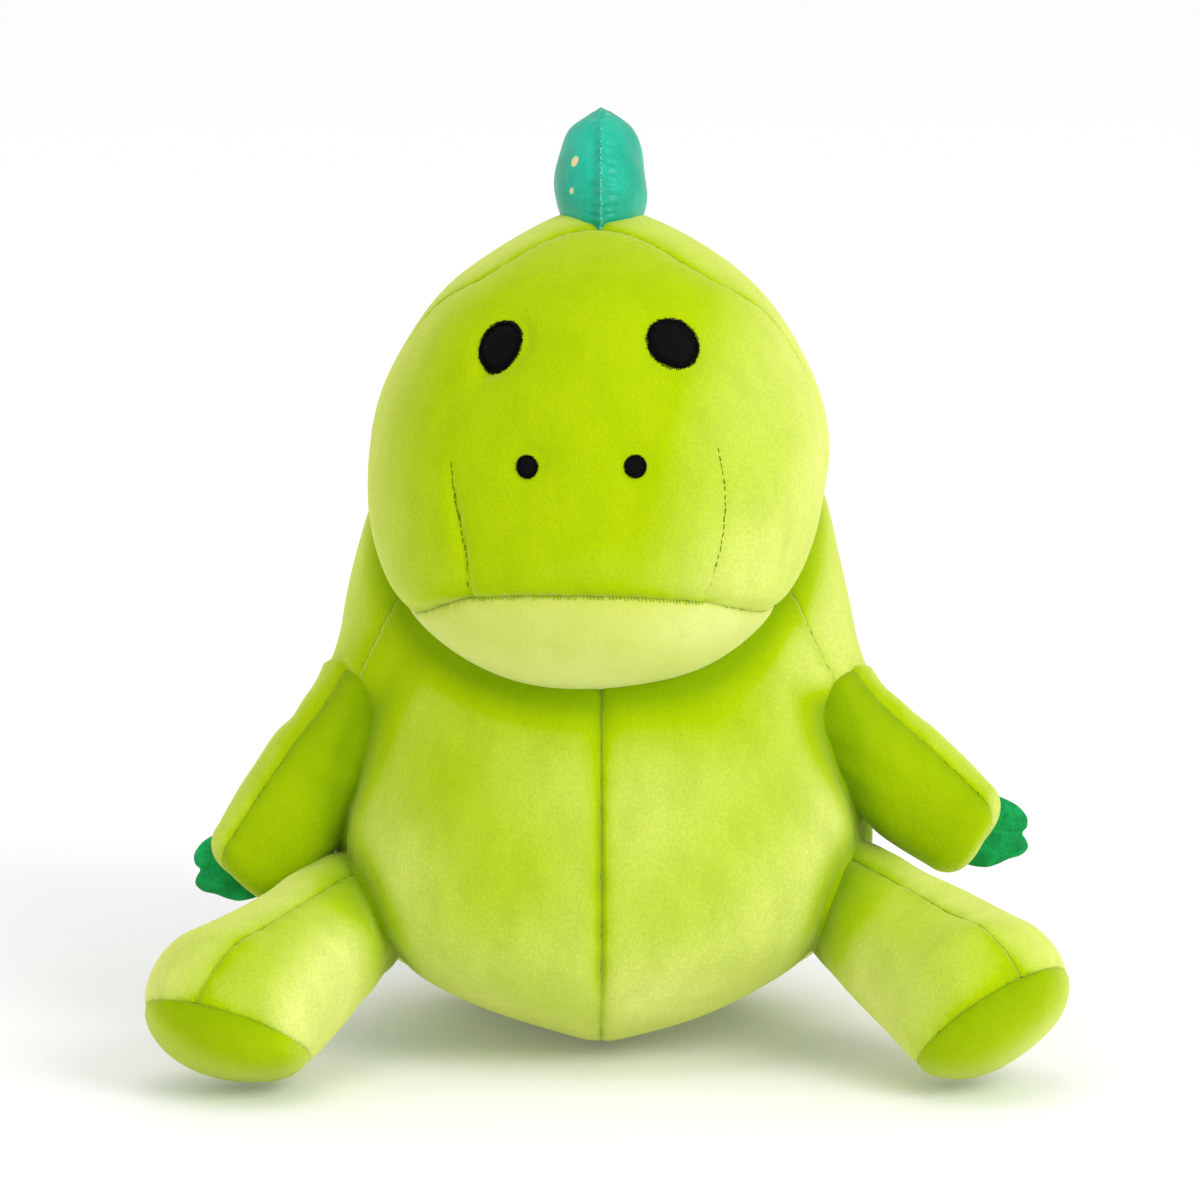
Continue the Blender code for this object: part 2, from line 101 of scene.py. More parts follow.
DIMPLE_DEPTH = 0.0012      # the embroidery draws the cloth in at its edge
DIMPLE_SURROUND = 0.0008
EYE_FOLD_DEPTH = 0.0022    # the small pinch under the left eye
EYE_RADIUS = 0.0086
NOSTRIL_RADIUS = 0.0036
LAID_THREAD_PITCH = 0.00075
EDGE_THREAD_PITCH = 0.00062
EMBROIDERY_HEIGHT = 0.0008

# Torso rings from the seat up: height, half width, front y, back y.
TORSO_RINGS = np.array((
    (0.000, 0.000, 0.000, 0.006),
    (0.000, 0.024, -0.016, 0.036),
    (0.003, 0.048, -0.042, 0.052),
    (0.010, 0.0680, -0.0615, 0.062),
    (0.022, 0.0810, -0.0765, 0.0695),
    (0.040, 0.0878, -0.0860, 0.0740),
    (0.066, 0.0895, -0.0870, 0.075),
    (0.098, 0.0868, -0.0790, 0.071),
    (0.130, 0.0842, -0.0670, 0.064),
    (0.158, 0.0780, -0.0560, 0.057),
    (0.182, 0.0700, -0.0440, 0.050),
    (0.200, 0.0520, -0.0300, 0.043),
    (0.206, 0.0000, 0.000, 0.010),
))
SEAT_SQUARE = 0.12         # how square the plan of the lower torso is
SEAT_KEEL = 0.27           # rise of the seat's front per metre away from the middle seam
TORSO_LEAN = 0.0016
SIDE_SEAM_Y = -0.036

ARM_HALF_HEIGHTS = {"left": (0.0150, 0.0264, 0.0172), "right": (0.0150, 0.0230, 0.0172)}
ARM_HALF_DEPTHS = (0.0205, 0.0175, 0.0120)
ARM_REACH = {"left": (-0.0355, -0.0090, -0.0455), "right": (0.0405, -0.0120, -0.0340)}
ARM_BLUNT = 0.62           # shortness and fullness of the hand, 1 for a round one
ARM_SUNK = 0.0260          # the arm's skin starts this far back along its axis
ARM_ROOT = {"left": (0.0010, 0, -0.0030), "right": (-0.0040, 0, -0.0034)}    # beyond the joint
ARM_SEAM_ROLL = {"left": 28, "right": 24}    # degrees from the top of the arm to the front
LEG_RADII = (0.0212, 0.0225, 0.0290)
LEG_ROOT = {"left": (-0.0030, 0, 0.0135), "right": (0.0040, 0, 0.0165)}    # beyond the joint
LEG_REACH = {"left": (-0.0434, -0.0665, -0.0070), "right": (0.0474, -0.0635, -0.0040)}
LEG_SEAM_ROLL = {"left": 22, "right": 20}    # degrees from the top of the leg to the inner side
SOLE_TILT = {"left": radians(58), "right": radians(47)}
SOLE_TURN = {"left": 0, "right": radians(12)}
SOLE_DISTANCE = 0.0085
SOLE_DOME = 0.0130
FILLET_HEIGHT = 0.0040     # the cloth between the torso and the top of an arm is drawn taut
FILLET_REACH = 0.0140
TAIL_RADII = (0.0270, 0.0205, 0.0105)
TAIL_REACH = (0.0, 0.0420, -0.0160)
SHADE_REACH = 0.0175       # painted shade darkens the pile this near to another form
LEG_SHADE_REACH = 0.0340

# Spikes from crown to tail: owner, foot (y, z), lean in degrees, height, length.
SPIKES = (
    ("head", (-0.0165, 0.2632), -5, 0.0395, 0.0520),
    ("head", (0.0270, 0.2420), 44, 0.0360, 0.0400),
    ("torso", (0.0500, 0.1660), 72, 0.0370, 0.0420),
    ("torso", (0.0640, 0.1180), 80, 0.0380, 0.0440),
    ("torso", (0.0700, 0.0740), 86, 0.0330, 0.0380),
    ("tail", (0.0960, 0.0330), 28, 0.0230, 0.0280),
)
SPIKE_HALF_THICKNESS = 0.375
SPIKE_ROOT = 0.0060
SPIKE_WAIST = 0.38         # height of the widest part, over the whole height

SEAM_DEPTH = 0.0016
SEAM_WIDTH = 0.0024
STITCH_LENGTH = 0.0024
STITCH_PITCH = 0.0031

CLOTH_PRESSURE = 4.0
CLOTH_FRAMES = 20
HELD_REACH = 0.0022        # cloth this near to a seam is held while the rest swells
REFINE_LEVELS = 2


# ---------------------------------------------------------------- number helpers
def eased(low, high, value):
    share = np.clip((value - low) / (high - low), 0, 1)
    return share * share * (3 - 2 * share)


def hump(value, centre, width):
    return np.exp(-(((value - centre) / width) ** 2))


def distance_to(points, place):
    return np.linalg.norm(points - np.array(place), axis=1)


def lumps(points, size, seed=0):
    """Smooth repeatable unevenness from -1 to 1, with features of about the given size."""
    total = np.zeros(len(points))
    for number in range(6):
        turn = 2.4 * number + 0.7 * seed
        tilt = 0.9 * cos(1.7 * number + seed)
        wave = np.array((cos(turn) * cos(tilt), sin(turn) * cos(tilt), sin(tilt)))
        pitch = size * (0.75 + 0.13 * number)
        total += np.sin(points @ wave * (2 * pi / pitch) + 1.3 * number + seed)
    return total / 3.5


def catmull(a, b, c, d, t):
    """Catmull-Rom value between b and c."""
    return b + 0.5 * t * (c - a + t * (2 * a - 5 * b + 4 * c - d + t * (3 * (b - c) + d - a)))


def smooth_rows(rows, place):
    """Catmull-Rom values of the table's columns at places from 0 to 1."""
    span = np.clip(place, 0, 1) * (len(rows) - 1)
    index = np.minimum(span.astype(int), len(rows) - 2)
    t = (span - index)[:, None]
    a, b = rows[np.maximum(index - 1, 0)], rows[index]
    c, d = rows[index + 1], rows[np.minimum(index + 2, len(rows) - 1)]
    return catmull(a, b, c, d, t)


def moved_by(matrix, points):
    turn = np.array(matrix.to_3x3())
    return points @ turn.T + np.array(matrix.to_translation())


# ---------------------------------------------------------------- mesh helpers
def quad_ball(count):
    """Unit ball of six grids of quads: points and faces."""
    bm = bmesh.new()
    bmesh.ops.create_cube(bm, size=2)
    bmesh.ops.subdivide_edges(bm, edges=bm.edges[:], cuts=count - 1, use_grid_fill=True)
    bmesh.ops.recalc_face_normals(bm, faces=bm.faces)
    points = np.tan(np.array([vert.co for vert in bm.verts]) * pi / 4)
    faces = [[vert.index for vert in face.verts] for face in bm.faces]
    bm.free()
    return points / np.linalg.norm(points, axis=1)[:, None], faces


def mesh_of(name, points, faces):
    mesh = bpy.data.meshes.new(name)
    mesh.from_pydata(points.tolist(), [], faces)
    mesh.update()
    return mesh


def linked(name, data):
    obj = bpy.data.objects.new(name, data)
    SCENE.collection.objects.link(obj)
    return obj


def object_of(name, points, faces):
    return linked(name, mesh_of(name, points, faces))


def rounded_object(name, points, faces):
    """A smooth closed object whose faces all point out."""
    mesh = mesh_of(name, np.array(points), faces)
    bm = bmesh.new()
    bm.from_mesh(mesh)
    bmesh.ops.recalc_face_normals(bm, faces=bm.faces)
    bm.to_mesh(mesh)
    bm.free()
    mesh.shade_smooth()
    return linked(name, mesh)


def points_of(mesh):
    flat = np.empty(len(mesh.vertices) * 3, np.float32)
    mesh.vertices.foreach_get("co", flat)
    return flat.reshape(-1, 3).astype(float)


def faces_of(mesh):
    return [list(face.vertices) for face in mesh.polygons]


def discard(obj):
    mesh = obj.data
    bpy.data.objects.remove(obj, do_unlink=True)
    bpy.data.meshes.remove(mesh)


def settled(obj):
    """Points and faces of an object with its modifiers, after which the object is removed."""
    graph = bpy.context.evaluated_depsgraph_get()
    mesh = bpy.data.meshes.new_from_object(obj.evaluated_get(graph))
    points, faces = points_of(mesh), faces_of(mesh)
    bpy.data.meshes.remove(mesh)
    discard(obj)
    return points, faces


def refined(points, faces):
    obj = object_of("refining", points, faces)
    smooth = obj.modifiers.new("refine", "SUBSURF")
    smooth.levels = smooth.render_levels = REFINE_LEVELS
    return settled(obj)


def normals_of(points, faces):
    mesh = mesh_of("normals", points, faces)
    flat = np.empty(len(points) * 3, np.float32)
    mesh.vertex_normals.foreach_get("vector", flat)
    bpy.data.meshes.remove(mesh)
    return flat.reshape(-1, 3).astype(float)


def tree_of(points, faces):
    return BVHTree.FromPolygons([Vector(point) for point in points], faces)


def depth_outside(points, tree, reach):
    """Signed distance to a closed surface, negative inside, and reach where it is further."""
    found = np.full(len(points), reach)
    for index, point in enumerate(points):
        place, normal, _, distance = tree.find_nearest(Vector(point), reach)
        if place is not None:
            inside = (Vector(point) - place).dot(normal) < 0
            found[index] = -distance if inside else distance
    return found


# ---------------------------------------------------------------- cloth
def swollen(points, faces, held, cap):
    """How far the cloth moves when the form is inflated with its seams held, at most cap."""
    obj = object_of("swelling", points, faces)
    seams = obj.vertex_groups.new(name="seams")
    seams.add([int(index) for index in np.flatnonzero(held)], 1.0, "REPLACE")
    cloth = obj.modifiers.new("cloth", "CLOTH")
    cloth.settings.quality = 4
    cloth.settings.mass = 0.25
    cloth.settings.tension_stiffness = cloth.settings.compression_stiffness = 12
    cloth.settings.bending_stiffness = 0.4
    cloth.settings.use_pressure = True
    cloth.settings.uniform_pressure_force = CLOTH_PRESSURE
    cloth.settings.effector_weights.gravity = 0
    cloth.settings.vertex_group_mass = "seams"
    cloth.point_cache.frame_start, cloth.point_cache.frame_end = 1, CLOTH_FRAMES
    for number in range(1, CLOTH_FRAMES + 1):
        SCENE.frame_set(number)
    graph = bpy.context.evaluated_depsgraph_get()
    shift = points_of(obj.evaluated_get(graph).data) - points
    discard(obj)
    SCENE.frame_set(1)
    length = np.linalg.norm(shift, axis=1)
    return shift * (np.minimum(length, cap) / np.maximum(length, 1e-9))[:, None]


def painted_sheen_and_nap(points, normals):
    """How pale the pile looks: painted sheen and painted light on the sides that face right, left and
    down, towards the lamps and the floor, and brushed up on the lower belly.
    """
    _, y, z = points.T
    # painted sheen on the sides that face right and left, painted light from the floor on the sides
    # that face down
    right = eased(0.42, 1.0, normals @ np.array((0.92, -0.25, -0.10)))
    under = eased(0.35, 1.0, normals @ np.array((0.10, -0.50, -0.80)))
    left = eased(0.55, 1.0, normals @ np.array((-0.92, -0.25, -0.10)))
    belly = eased(0.128, 0.080, z + 0.012 * lumps(points, 0.070, 4)) * eased(-0.02, -0.05, y)
    patchy = 1 + 0.40 * lumps(points, 0.055, 9)
    return (0.72 * right + 0.25 * under + 0.26 * left + 0.38 * belly) * patchy


class Skin:
    """A closed skin: its points before and after swelling, and its seam planes."""

    def __init__(self, form, count, seams, cap, pattern=None):
        ball, faces = quad_ball(count)
        base = form(ball)
        flat = pattern(base) if pattern else base
        held = np.zeros(len(base), bool)
        for seam in seams:
            held |= (np.abs(seam.side(flat)) < HELD_REACH) & seam.covers(flat)
        shift = swollen(base, faces, held, cap)
        fine, self.faces = refined(ball, faces)
        fine /= np.linalg.norm(fine, axis=1)[:, None]
        self.rest = form(fine)
        self.points = self.rest + refined(shift, faces)[0]
        self.normals = normals_of(self.points, self.faces)
        if pattern:
            self.rest = pattern(self.rest)
        self.base, self.base_faces = base + shift, faces
        self.seams = seams
        for seam in seams:
            self.split(seam)
        # Painted shade, laid into the colour where the cloth creases and where other forms come out
        # of it.
        self.shade = np.zeros(len(self.points))

    def split(self, seam):
        """Puts a row of edges exactly on the seam."""
        side = seam.side(self.rest)
        snapped = np.abs(side) < 0.0003
        step = np.outer(np.where(snapped, side, 0), seam.normal)
        self.rest, self.points = self.rest - step, self.points - step
        bm = bmesh.new()
        bm.from_mesh(mesh_of("split", self.rest, self.faces))
        place_layer = bm.verts.layers.float_vector.new("place")
        normal_layer = bm.verts.layers.float_vector.new("normal")
        for vert, place, normal in zip(bm.verts, self.points, self.normals):
            vert[place_layer], vert[normal_layer] = place, normal
        reached = [face for face in bm.faces if seam.covers_point(face.calc_center_median())]
        around = {vert for face in reached for vert in face.verts}
        edges = {edge for face in reached for edge in face.edges}
        bmesh.ops.bisect_plane(
            bm, geom=list(around) + list(edges) + reached, dist=1e-6,
            plane_co=seam.point, plane_no=seam.normal,
        )
        bm.verts.index_update()
        self.rest = np.array([vert.co for vert in bm.verts])
        self.points = np.array([vert[place_layer] for vert in bm.verts])
        self.normals = np.array([vert[normal_layer].normalized() for vert in bm.verts])
        self.faces = [[vert.index for vert in face.verts] for face in bm.faces]
        bm.free()

    def creased(self, extra=0.0):
        """Draws the cloth in along the seams, with small puckers, then by the extra amount, and
        paints shade into the seams' creases.
        """
        offset = np.zeros(len(self.rest)) + extra
        for number, seam in enumerate(self.seams):
            drawn = seam.crease(self.rest, number)
            offset -= drawn
            # painted shade in the crease
            self.shade -= 0.8 * np.clip(drawn / SEAM_DEPTH, 0, 1)
        self.points = self.points + self.normals * offset[:, None]

    def pressed_by(self, tree, depth=0.0020, width=0.0045, taut=0.0, reach=SHADE_REACH):
        """Draws the skin in where another form comes out of it, except where it is taut, and paints
        shade there within the reach.
        """
        apart = np.abs(depth_outside(self.points, tree, max(4 * width, reach)))
        ripple = 1 + 0.12 * lumps(self.rest, 0.009, 3)
        pull = depth * ripple * np.exp(-((apart / width) ** 1.4)) * (1 - taut)
        self.points = self.points - self.normals * pull[:, None]
        # painted shade near the other form
        self.shade -= 1.25 * eased(reach, 0.0, apart) ** 1.6 * (1 - taut)

    def filleted_by(self, tree, taut):
        """Swells the taut cloth towards the form that grows out of it."""
        apart = np.abs(depth_outside(self.points, tree, FILLET_REACH))
        swell = FILLET_HEIGHT * (1 - np.minimum(apart / FILLET_REACH, 1)) ** 2 * taut
        self.points = self.points + self.normals * swell[:, None]

    def panel(self, name, sides, tone=0.0):
        """The open panel on the named sides, pairs of seam and sign, paler by the tone. The tone
        paints light on some panels and shade on others, and the nap attribute also carries painted
        sheen, painted light and painted shade.
        """
        centres = np.array([self.rest[face].mean(axis=0) for face in self.faces])
        kept = np.ones(len(centres), bool)
        for seam, sign in sides:
            kept &= seam.side(centres) * sign > 0
        faces = [face for face, keep in zip(self.faces, kept) if keep]
        used = sorted({index for face in faces for index in face})
        number = {index: place for place, index in enumerate(used)}
        faces = [[number[index] for index in face] for face in faces]
        obj = object_of(name, self.points[used], faces)
        obj.data.polygons.foreach_set("use_smooth", [True] * len(faces))
        # The nap attribute: painted sheen and light on the sides that face the lamps and the floor,
        # painted shade in creases and near other forms, the tone, and brushed pile.
        nap = obj.data.attributes.new("nap", "FLOAT", "POINT")
        value = painted_sheen_and_nap(self.points[used], self.normals[used]) + self.shade[used] + tone
        nap.data.foreach_set("value", np.clip(value, -1, 1).astype(np.float32))
        shell = obj.modifiers.new("shell", "SOLIDIFY")
        shell.thickness = CLOTH
        shell.offset = -1
        shell.use_rim = True
        return obj

    def seam_lines(self, seam):
        """Chains of points along the seam on the finished skin."""
        on = np.abs(seam.side(self.rest)) < 1e-5
        on &= seam.covers(self.rest)
        links = {}
        for face in self.faces:
            for a, b in zip(face, face[1:] + face[:1]):
                if on[a] and on[b]:
                    links.setdefault(a, set()).add(b)
                    links.setdefault(b, set()).add(a)
        chains = []
        while links:
            ends = [index for index, near in links.items() if len(near) == 1]
            here = min(ends) if ends else min(links)
            chain = [here]
            while links.get(here):
                near = min(links[here])
                links[here].discard(near)
                links[near].discard(here)
                if not links[here]:
                    del links[here]
                chain.append(near)
                here = near
            links.pop(here, None)
            chains.append(self.points[chain])
        return [chain for chain in chains if len(chain) > 3]


class Seam:
    """A seam where a form is cut by a plane, kept to where all its limits are positive."""

    def __init__(self, point, normal, limits=(), depth=SEAM_DEPTH, width=SEAM_WIDTH):
        self.point, self.normal = np.array(point, float), np.array(normal, float)
        self.normal /= np.linalg.norm(self.normal)
        self.limits = [(np.array(place), np.array(way, float)) for place, way in limits]
        self.depth, self.width = depth, width

    def side(self, points):
        return (points - self.point) @ self.normal

    def covers(self, points):
        kept = np.ones(len(points), bool)
        for place, way in self.limits:
            kept &= (points - place) @ way > -1e-6
        return kept

    def covers_point(self, point):
        return bool(self.covers(np.array(point)[None])[0])

    def crease(self, points, number):
        fade = np.ones(len(points))
        for place, way in self.limits:
            fade *= eased(-0.0015, 0.0005, (points - place) @ (way / np.linalg.norm(way)))
        pucker = 1 + 0.30 * lumps(points, 0.0085, number)
        return self.depth * fade * pucker * np.exp(-np.abs(self.side(points)) / self.width)


# ---------------------------------------------------------------- forms
def ball_angles(ball):
    """Angles round the upright axis, and the rise from the lowest point, 0, to the highest, 1."""
    return np.arctan2(ball[:, 1], ball[:, 0]), np.arccos(np.clip(-ball[:, 2], -1, 1)) / pi


def above_floor(points, gap=FLOOR_GAP):
    points[:, 2] = np.maximum(points[:, 2], gap)
    return points


def head_matrix():
    return Matrix.Translation(HEAD_CENTRE) @ Matrix.Rotation(HEAD_TURN, 4, "Z")


def head_form(ball):
    """Head in its own frame: a ball with a swollen squarish jaw and a low peak."""
    across = np.arccos(np.clip(ball[:, 0], -1, 1))
    angle = np.arctan2(ball[:, 2], -ball[:, 1])
    away = (angle - CHIN_ANGLE + pi) % (2 * pi) - pi
    chin = np.where(np.abs(away) < CHIN_SPREAD, np.cos(away / CHIN_SPREAD * pi / 2) ** 2, 0)
    girth = np.maximum(np.sin(across), 0) ** (1 - CHIN_SQUARE * chin)
    radius = (HEAD_RADIUS + CHIN_BULGE * chin) * girth
    points = np.stack(
        (HEAD_HALF_WIDTH * ball[:, 0], -radius * np.cos(angle), radius * np.sin(angle)), axis=1
    )
    points[:, 0] *= 1 - HEAD_NARROWING * eased(-0.006, 0.040, points[:, 2])
    points[:, 0] += HEAD_LEAN * points[:, 2] - 0.0006
    crown = np.hypot(points[:, 0], (points[:, 1] - 0.006) * 0.8)
    points[:, 2] += CROWN_PEAK * np.exp(-((crown / 0.024) ** 2)) * (points[:, 2] > 0)
    return points


def head_pattern(points):
    """Where each point lies on the sewing pattern, in which the seams are planes."""
    flat = points.copy()
    aside = np.abs(points[:, 0])
    bend = 0.012 * eased(0.036, 0.072, aside) - 0.008 * hump(aside, 0.033, 0.017)
    flat[:, 1] -= bend * hump(points[:, 1], FACE_SEAM_Y, 0.035)
    droop = np.where(points[:, 0] < 0, MOUTH_DROOP, 0.6 * MOUTH_DROOP)
    flat[:, 2] += droop * eased(0.036, 0.058, aside) * eased(-0.020, -0.035, points[:, 1])
    return flat


def torso_form(ball):
    around, rise = ball_angles(ball)
    height, half_width, front, back = smooth_rows(TORSO_RINGS, rise).T
    half_depth = np.where(half_width > 1e-4, np.maximum((back - front) / 2, 0), 0)
    square = 1 - SEAT_SQUARE * eased(0.115, 0.050, height)
    across, along = np.cos(around), np.sin(around)
    x = half_width * np.sign(across) * np.abs(across) ** square
    y = (front + back) / 2 + half_depth * np.sign(along) * np.abs(along) ** square
    keel = SEAT_KEEL * np.abs(x) * eased(0.060, 0.004, height) * eased(0.045, -0.020, y)
    return np.stack((
        x - TORSO_LEAN * hump(height, 0.140, 0.035),
        y,
        np.maximum(height, 0) + keel,
    ), axis=1)


def limb_frame(root, end):
    """Turn whose Z runs along the limb and whose Y is as level as it can be."""
    along = (end - root).normalized()
    level = Vector((-along.y, along.x, 0)).normalized()
    return Matrix((level.cross(along), level, along)).transposed().to_4x4()


def bezier(values, t):
    return (1 - t) ** 2 * values[0] + 2 * t * (1 - t) * values[1] + t * t * values[2]


def limb_form(ball, root, end, heights, depths, blunt=1.0):
    """A stuffed tube: a round root, a waisted middle and a round end."""
    length = (end - root).length
    around, place = ball_angles(ball)
    t = np.clip((place - 0.30) / 0.38, 0, 1)
    near = np.clip(place / 0.30, 0, 1) * pi / 2
    far = np.clip((place - 0.68) / 0.32, 0, 1) * pi / 2
    along = t * length - heights[0] * 0.8 * np.cos(near) + blunt * heights[2] * np.sin(far)
    taper = np.sin(near) * np.cos(far) ** blunt
    points = np.stack((
        bezier(heights, t) * taper * np.cos(around),
        bezier(depths, t) * taper * np.sin(around),
        along,
    ), axis=1)
    return moved_by(Matrix.Translation(root) @ limb_frame(root, end), points)


def sole_normal(side, root, end):
    turn = SOLE_TURN[side]
    ahead = Matrix.Rotation(turn, 3, "Z") @ Vector((end.x - root.x, end.y - root.y, 0)).normalized()
    return ahead * cos(SOLE_TILT[side]) - Vector((0, 0, sin(SOLE_TILT[side])))


def leg_form(ball, side, root, end):
    points = limb_form(ball, root + Vector(LEG_ROOT[side]), end, LEG_RADII, LEG_RADII)
    normal = np.array(sole_normal(side, root, end))
    beyond = (points - np.array(end)) @ normal - SOLE_DISTANCE
    dome = SOLE_DOME * beyond / (LEG_RADII[2] - SOLE_DISTANCE)
    return above_floor(points - np.outer(np.where(beyond > 0, beyond - dome, 0), normal))


def tail_form(ball, root, end):
    return above_floor(limb_form(ball, root, end, TAIL_RADII, TAIL_RADII))


def spike_form(ball, height, length):
    """A plump shark fin in its own frame: long along Y, rising along Z."""
    around, place = ball_angles(ball)
    rise = -SPIKE_ROOT + (height + SPIKE_ROOT) * place
    waist = height * SPIKE_WAIST
    above = np.clip((rise - waist) / (height - waist), 0, 1)
    below = np.clip((waist - rise) / (waist + SPIKE_ROOT), 0, 1)
    closed = eased(0.0, 0.10, place) ** 0.5
    thick = height * SPIKE_HALF_THICKNESS * (1 - above ** 2) ** 0.55 * (1 - 0.42 * below ** 1.6)
    half_length = length / 2 * (1 - above ** 1.7) ** 0.52 * (1 - 0.12 * below ** 2)
    side, ahead = np.cos(around), np.sin(around)
    sweep = 0.12 * length * np.clip(rise / height, 0, 1) ** 2
    return np.stack((
        thick * closed * side * np.abs(side) ** 0.65,
        half_length * closed * ahead + sweep,
        rise,
    ), axis=1)


# ---------------------------------------------------------------- materials
class Nodes:
    """Shorthand for one material's node tree."""

    def __init__(self, name, **constants):
        self.material = bpy.data.materials.new(name)
        self.material.use_nodes = True
        self.tree = self.material.node_tree
        self.shader = self.tree.nodes["Principled BSDF"]
        for socket, value in constants.items():
            self.shader.inputs[socket.replace("_", " ")].default_value = value
        self.place = self.add("ShaderNodeTexCoord").outputs["Object"]

    def add(self, kind, **settings):
        node = self.tree.nodes.new(kind)
        for key, value in settings.items():
            setattr(node, key, value)
        return node

    def link(self, source, target):
        self.tree.links.new(source, target)

    def feed(self, socket, value):
        """Links a socket to another, or sets its number or its colour."""
        if isinstance(value, bpy.types.NodeSocket):
            self.link(value, socket)
        else:
            socket.default_value = (*value, 1) if isinstance(value, tuple) else value

    def noise(self, scale, detail=2.0, stretch=(1, 1, 1), roughness=0.5):
        mapping = self.add("ShaderNodeMapping")
        mapping.inputs["Scale"].default_value = stretch
        self.link(self.place, mapping.inputs["Vector"])
        node = self.add("ShaderNodeTexNoise")
        node.inputs["Scale"].default_value = scale
        node.inputs["Detail"].default_value = detail
        node.inputs["Roughness"].default_value = roughness
        self.link(mapping.outputs["Vector"], node.inputs["Vector"])
        return node.outputs["Fac"]

    def spread(self, value, low, high, out_low=0.0, out_high=1.0):
        node = self.add("ShaderNodeMapRange")
        node.interpolation_type = "SMOOTHSTEP"
        for socket, number in (("From Min", low), ("From Max", high),
                               ("To Min", out_low), ("To Max", out_high)):
            node.inputs[socket].default_value = number
        self.link(value, node.inputs["Value"])
        return node.outputs["Result"]

    def mix(self, share, first, second):
        node = self.add("ShaderNodeMix", data_type="RGBA")
        for number, value in ((0, share), (6, first), (7, second)):
            self.feed(node.inputs[number], value)
        return node.outputs[2]

    def maths(self, operation, first, second=0.0):
        node = self.add("ShaderNodeMath", operation=operation)
        for socket, value in zip(node.inputs, (first, second)):
            self.feed(socket, value)
        return node.outputs[0]

    def cells(self, scale, randomness=1.0):
        node = self.add("ShaderNodeTexVoronoi")
        node.inputs["Scale"].default_value = scale
        node.inputs["Randomness"].default_value = randomness
        self.link(self.place, node.inputs["Vector"])
        return node.outputs["Distance"]

    def bump(self, height, distance, strength=1.0, under=None):
        node = self.add("ShaderNodeBump")
        node.inputs["Strength"].default_value = strength
        node.inputs["Distance"].default_value = distance
        self.link(height, node.inputs["Height"])
        if under:
            self.link(under, node.inputs["Normal"])
        return node.outputs["Normal"]

    def done(self, colour=None, roughness=None, normal=None):
        for socket, value in (("Base Color", colour), ("Roughness", roughness),
                              ("Normal", normal)):
            if value is not None:
                self.link(value, self.shader.inputs[socket])
        return self.material


def velour(name, deep, base, pale, patchy):
    """Short pile: brushed patches, a fine nap, a pale sheen painted into the colour where it is seen
    edge on, and the painted light and painted shade held in the nap attribute.
    """
    nodes = Nodes(
        name, Sheen_Weight=0.32, Sheen_Roughness=0.38, Sheen_Tint=(0.97, 1.0, 0.30, 1),
        Specular_IOR_Level=0.03,
    )
    patches = nodes.spread(nodes.noise(17, 3.0), 0.38, 0.66)
    strokes = nodes.spread(nodes.noise(95, 3.0, (1, 1, 0.55)), 0.35, 0.70)
    nap = nodes.noise(1500, 2.0, (1, 1, 0.6), 0.6)
    painted_light_and_nap = nodes.add("ShaderNodeAttribute", attribute_name="nap").outputs["Fac"]
    # Brushed patches, and the painted sheen and light of the attribute, turn the colour pale.
    share = nodes.maths("ADD", nodes.maths("MULTIPLY", patches, patchy), painted_light_and_nap)
    share.node.use_clamp = True
    # Painted shade: where the attribute is below zero the colour darkens to deep.
    flat = nodes.maths("MULTIPLY", painted_light_and_nap, -0.85)
    flat.node.use_clamp = True
    colour = nodes.mix(flat, nodes.mix(share, base, pale), deep)
    colour = nodes.mix(nodes.maths("MULTIPLY", strokes, 0.16), colour, deep)
    # Painted sheen: the colour turns pale where the pile is seen edge on, less so in the painted
    # shade.
    edge = nodes.add("ShaderNodeLayerWeight")
    edge.inputs["Blend"].default_value = 0.34
    rim = nodes.spread(edge.outputs["Facing"], 0.22, 0.85, 0.0, 0.55)
    raised = nodes.maths("SUBTRACT", 1.0, flat)
    colour = nodes.mix(nodes.maths("MULTIPLY", rim, raised), colour, pale)
    colour = nodes.mix(nodes.spread(nap, 0.35, 0.65, 0.0, 0.19), colour, deep)
    rough = nodes.spread(strokes, 0, 1, 0.74, 0.92)
    soft = nodes.bump(strokes, 0.00035, 0.6)
    return nodes.done(colour, rough, nodes.bump(nap, 0.00030, 0.75, soft))


def satin(name):
    """Shiny teal satin with fine warp lines and a few small printed cream dots."""
    nodes = Nodes(
        name, Sheen_Weight=0.08, Sheen_Roughness=0.3, Sheen_Tint=(0.5, 1.0, 0.85, 1),
        Specular_IOR_Level=0.28, Anisotropic=0.35, Coat_Weight=0.04, Coat_Roughness=0.35,
    )
    drift = nodes.spread(nodes.noise(60, 2.0), 0.35, 0.68)
    colour = nodes.mix(drift, (0.001, 0.335, 0.205), (0.002, 0.450, 0.290))
    dots = nodes.spread(nodes.cells(84, 0.62), 0.13, 0.17, 1.0, 0.0)
    colour = nodes.mix(dots, colour, (0.86, 0.66, 0.30))
    threads = nodes.noise(900, 1.0, (0.25, 1, 1))
    colour = nodes.mix(nodes.spread(threads, 0.35, 0.65, 0.0, 0.16), colour, (0.02, 0.60, 0.44))
    rough = nodes.spread(threads, 0.3, 0.7, 0.30, 0.44)
    return nodes.done(colour, rough, nodes.bump(threads, 0.00012, 0.5))


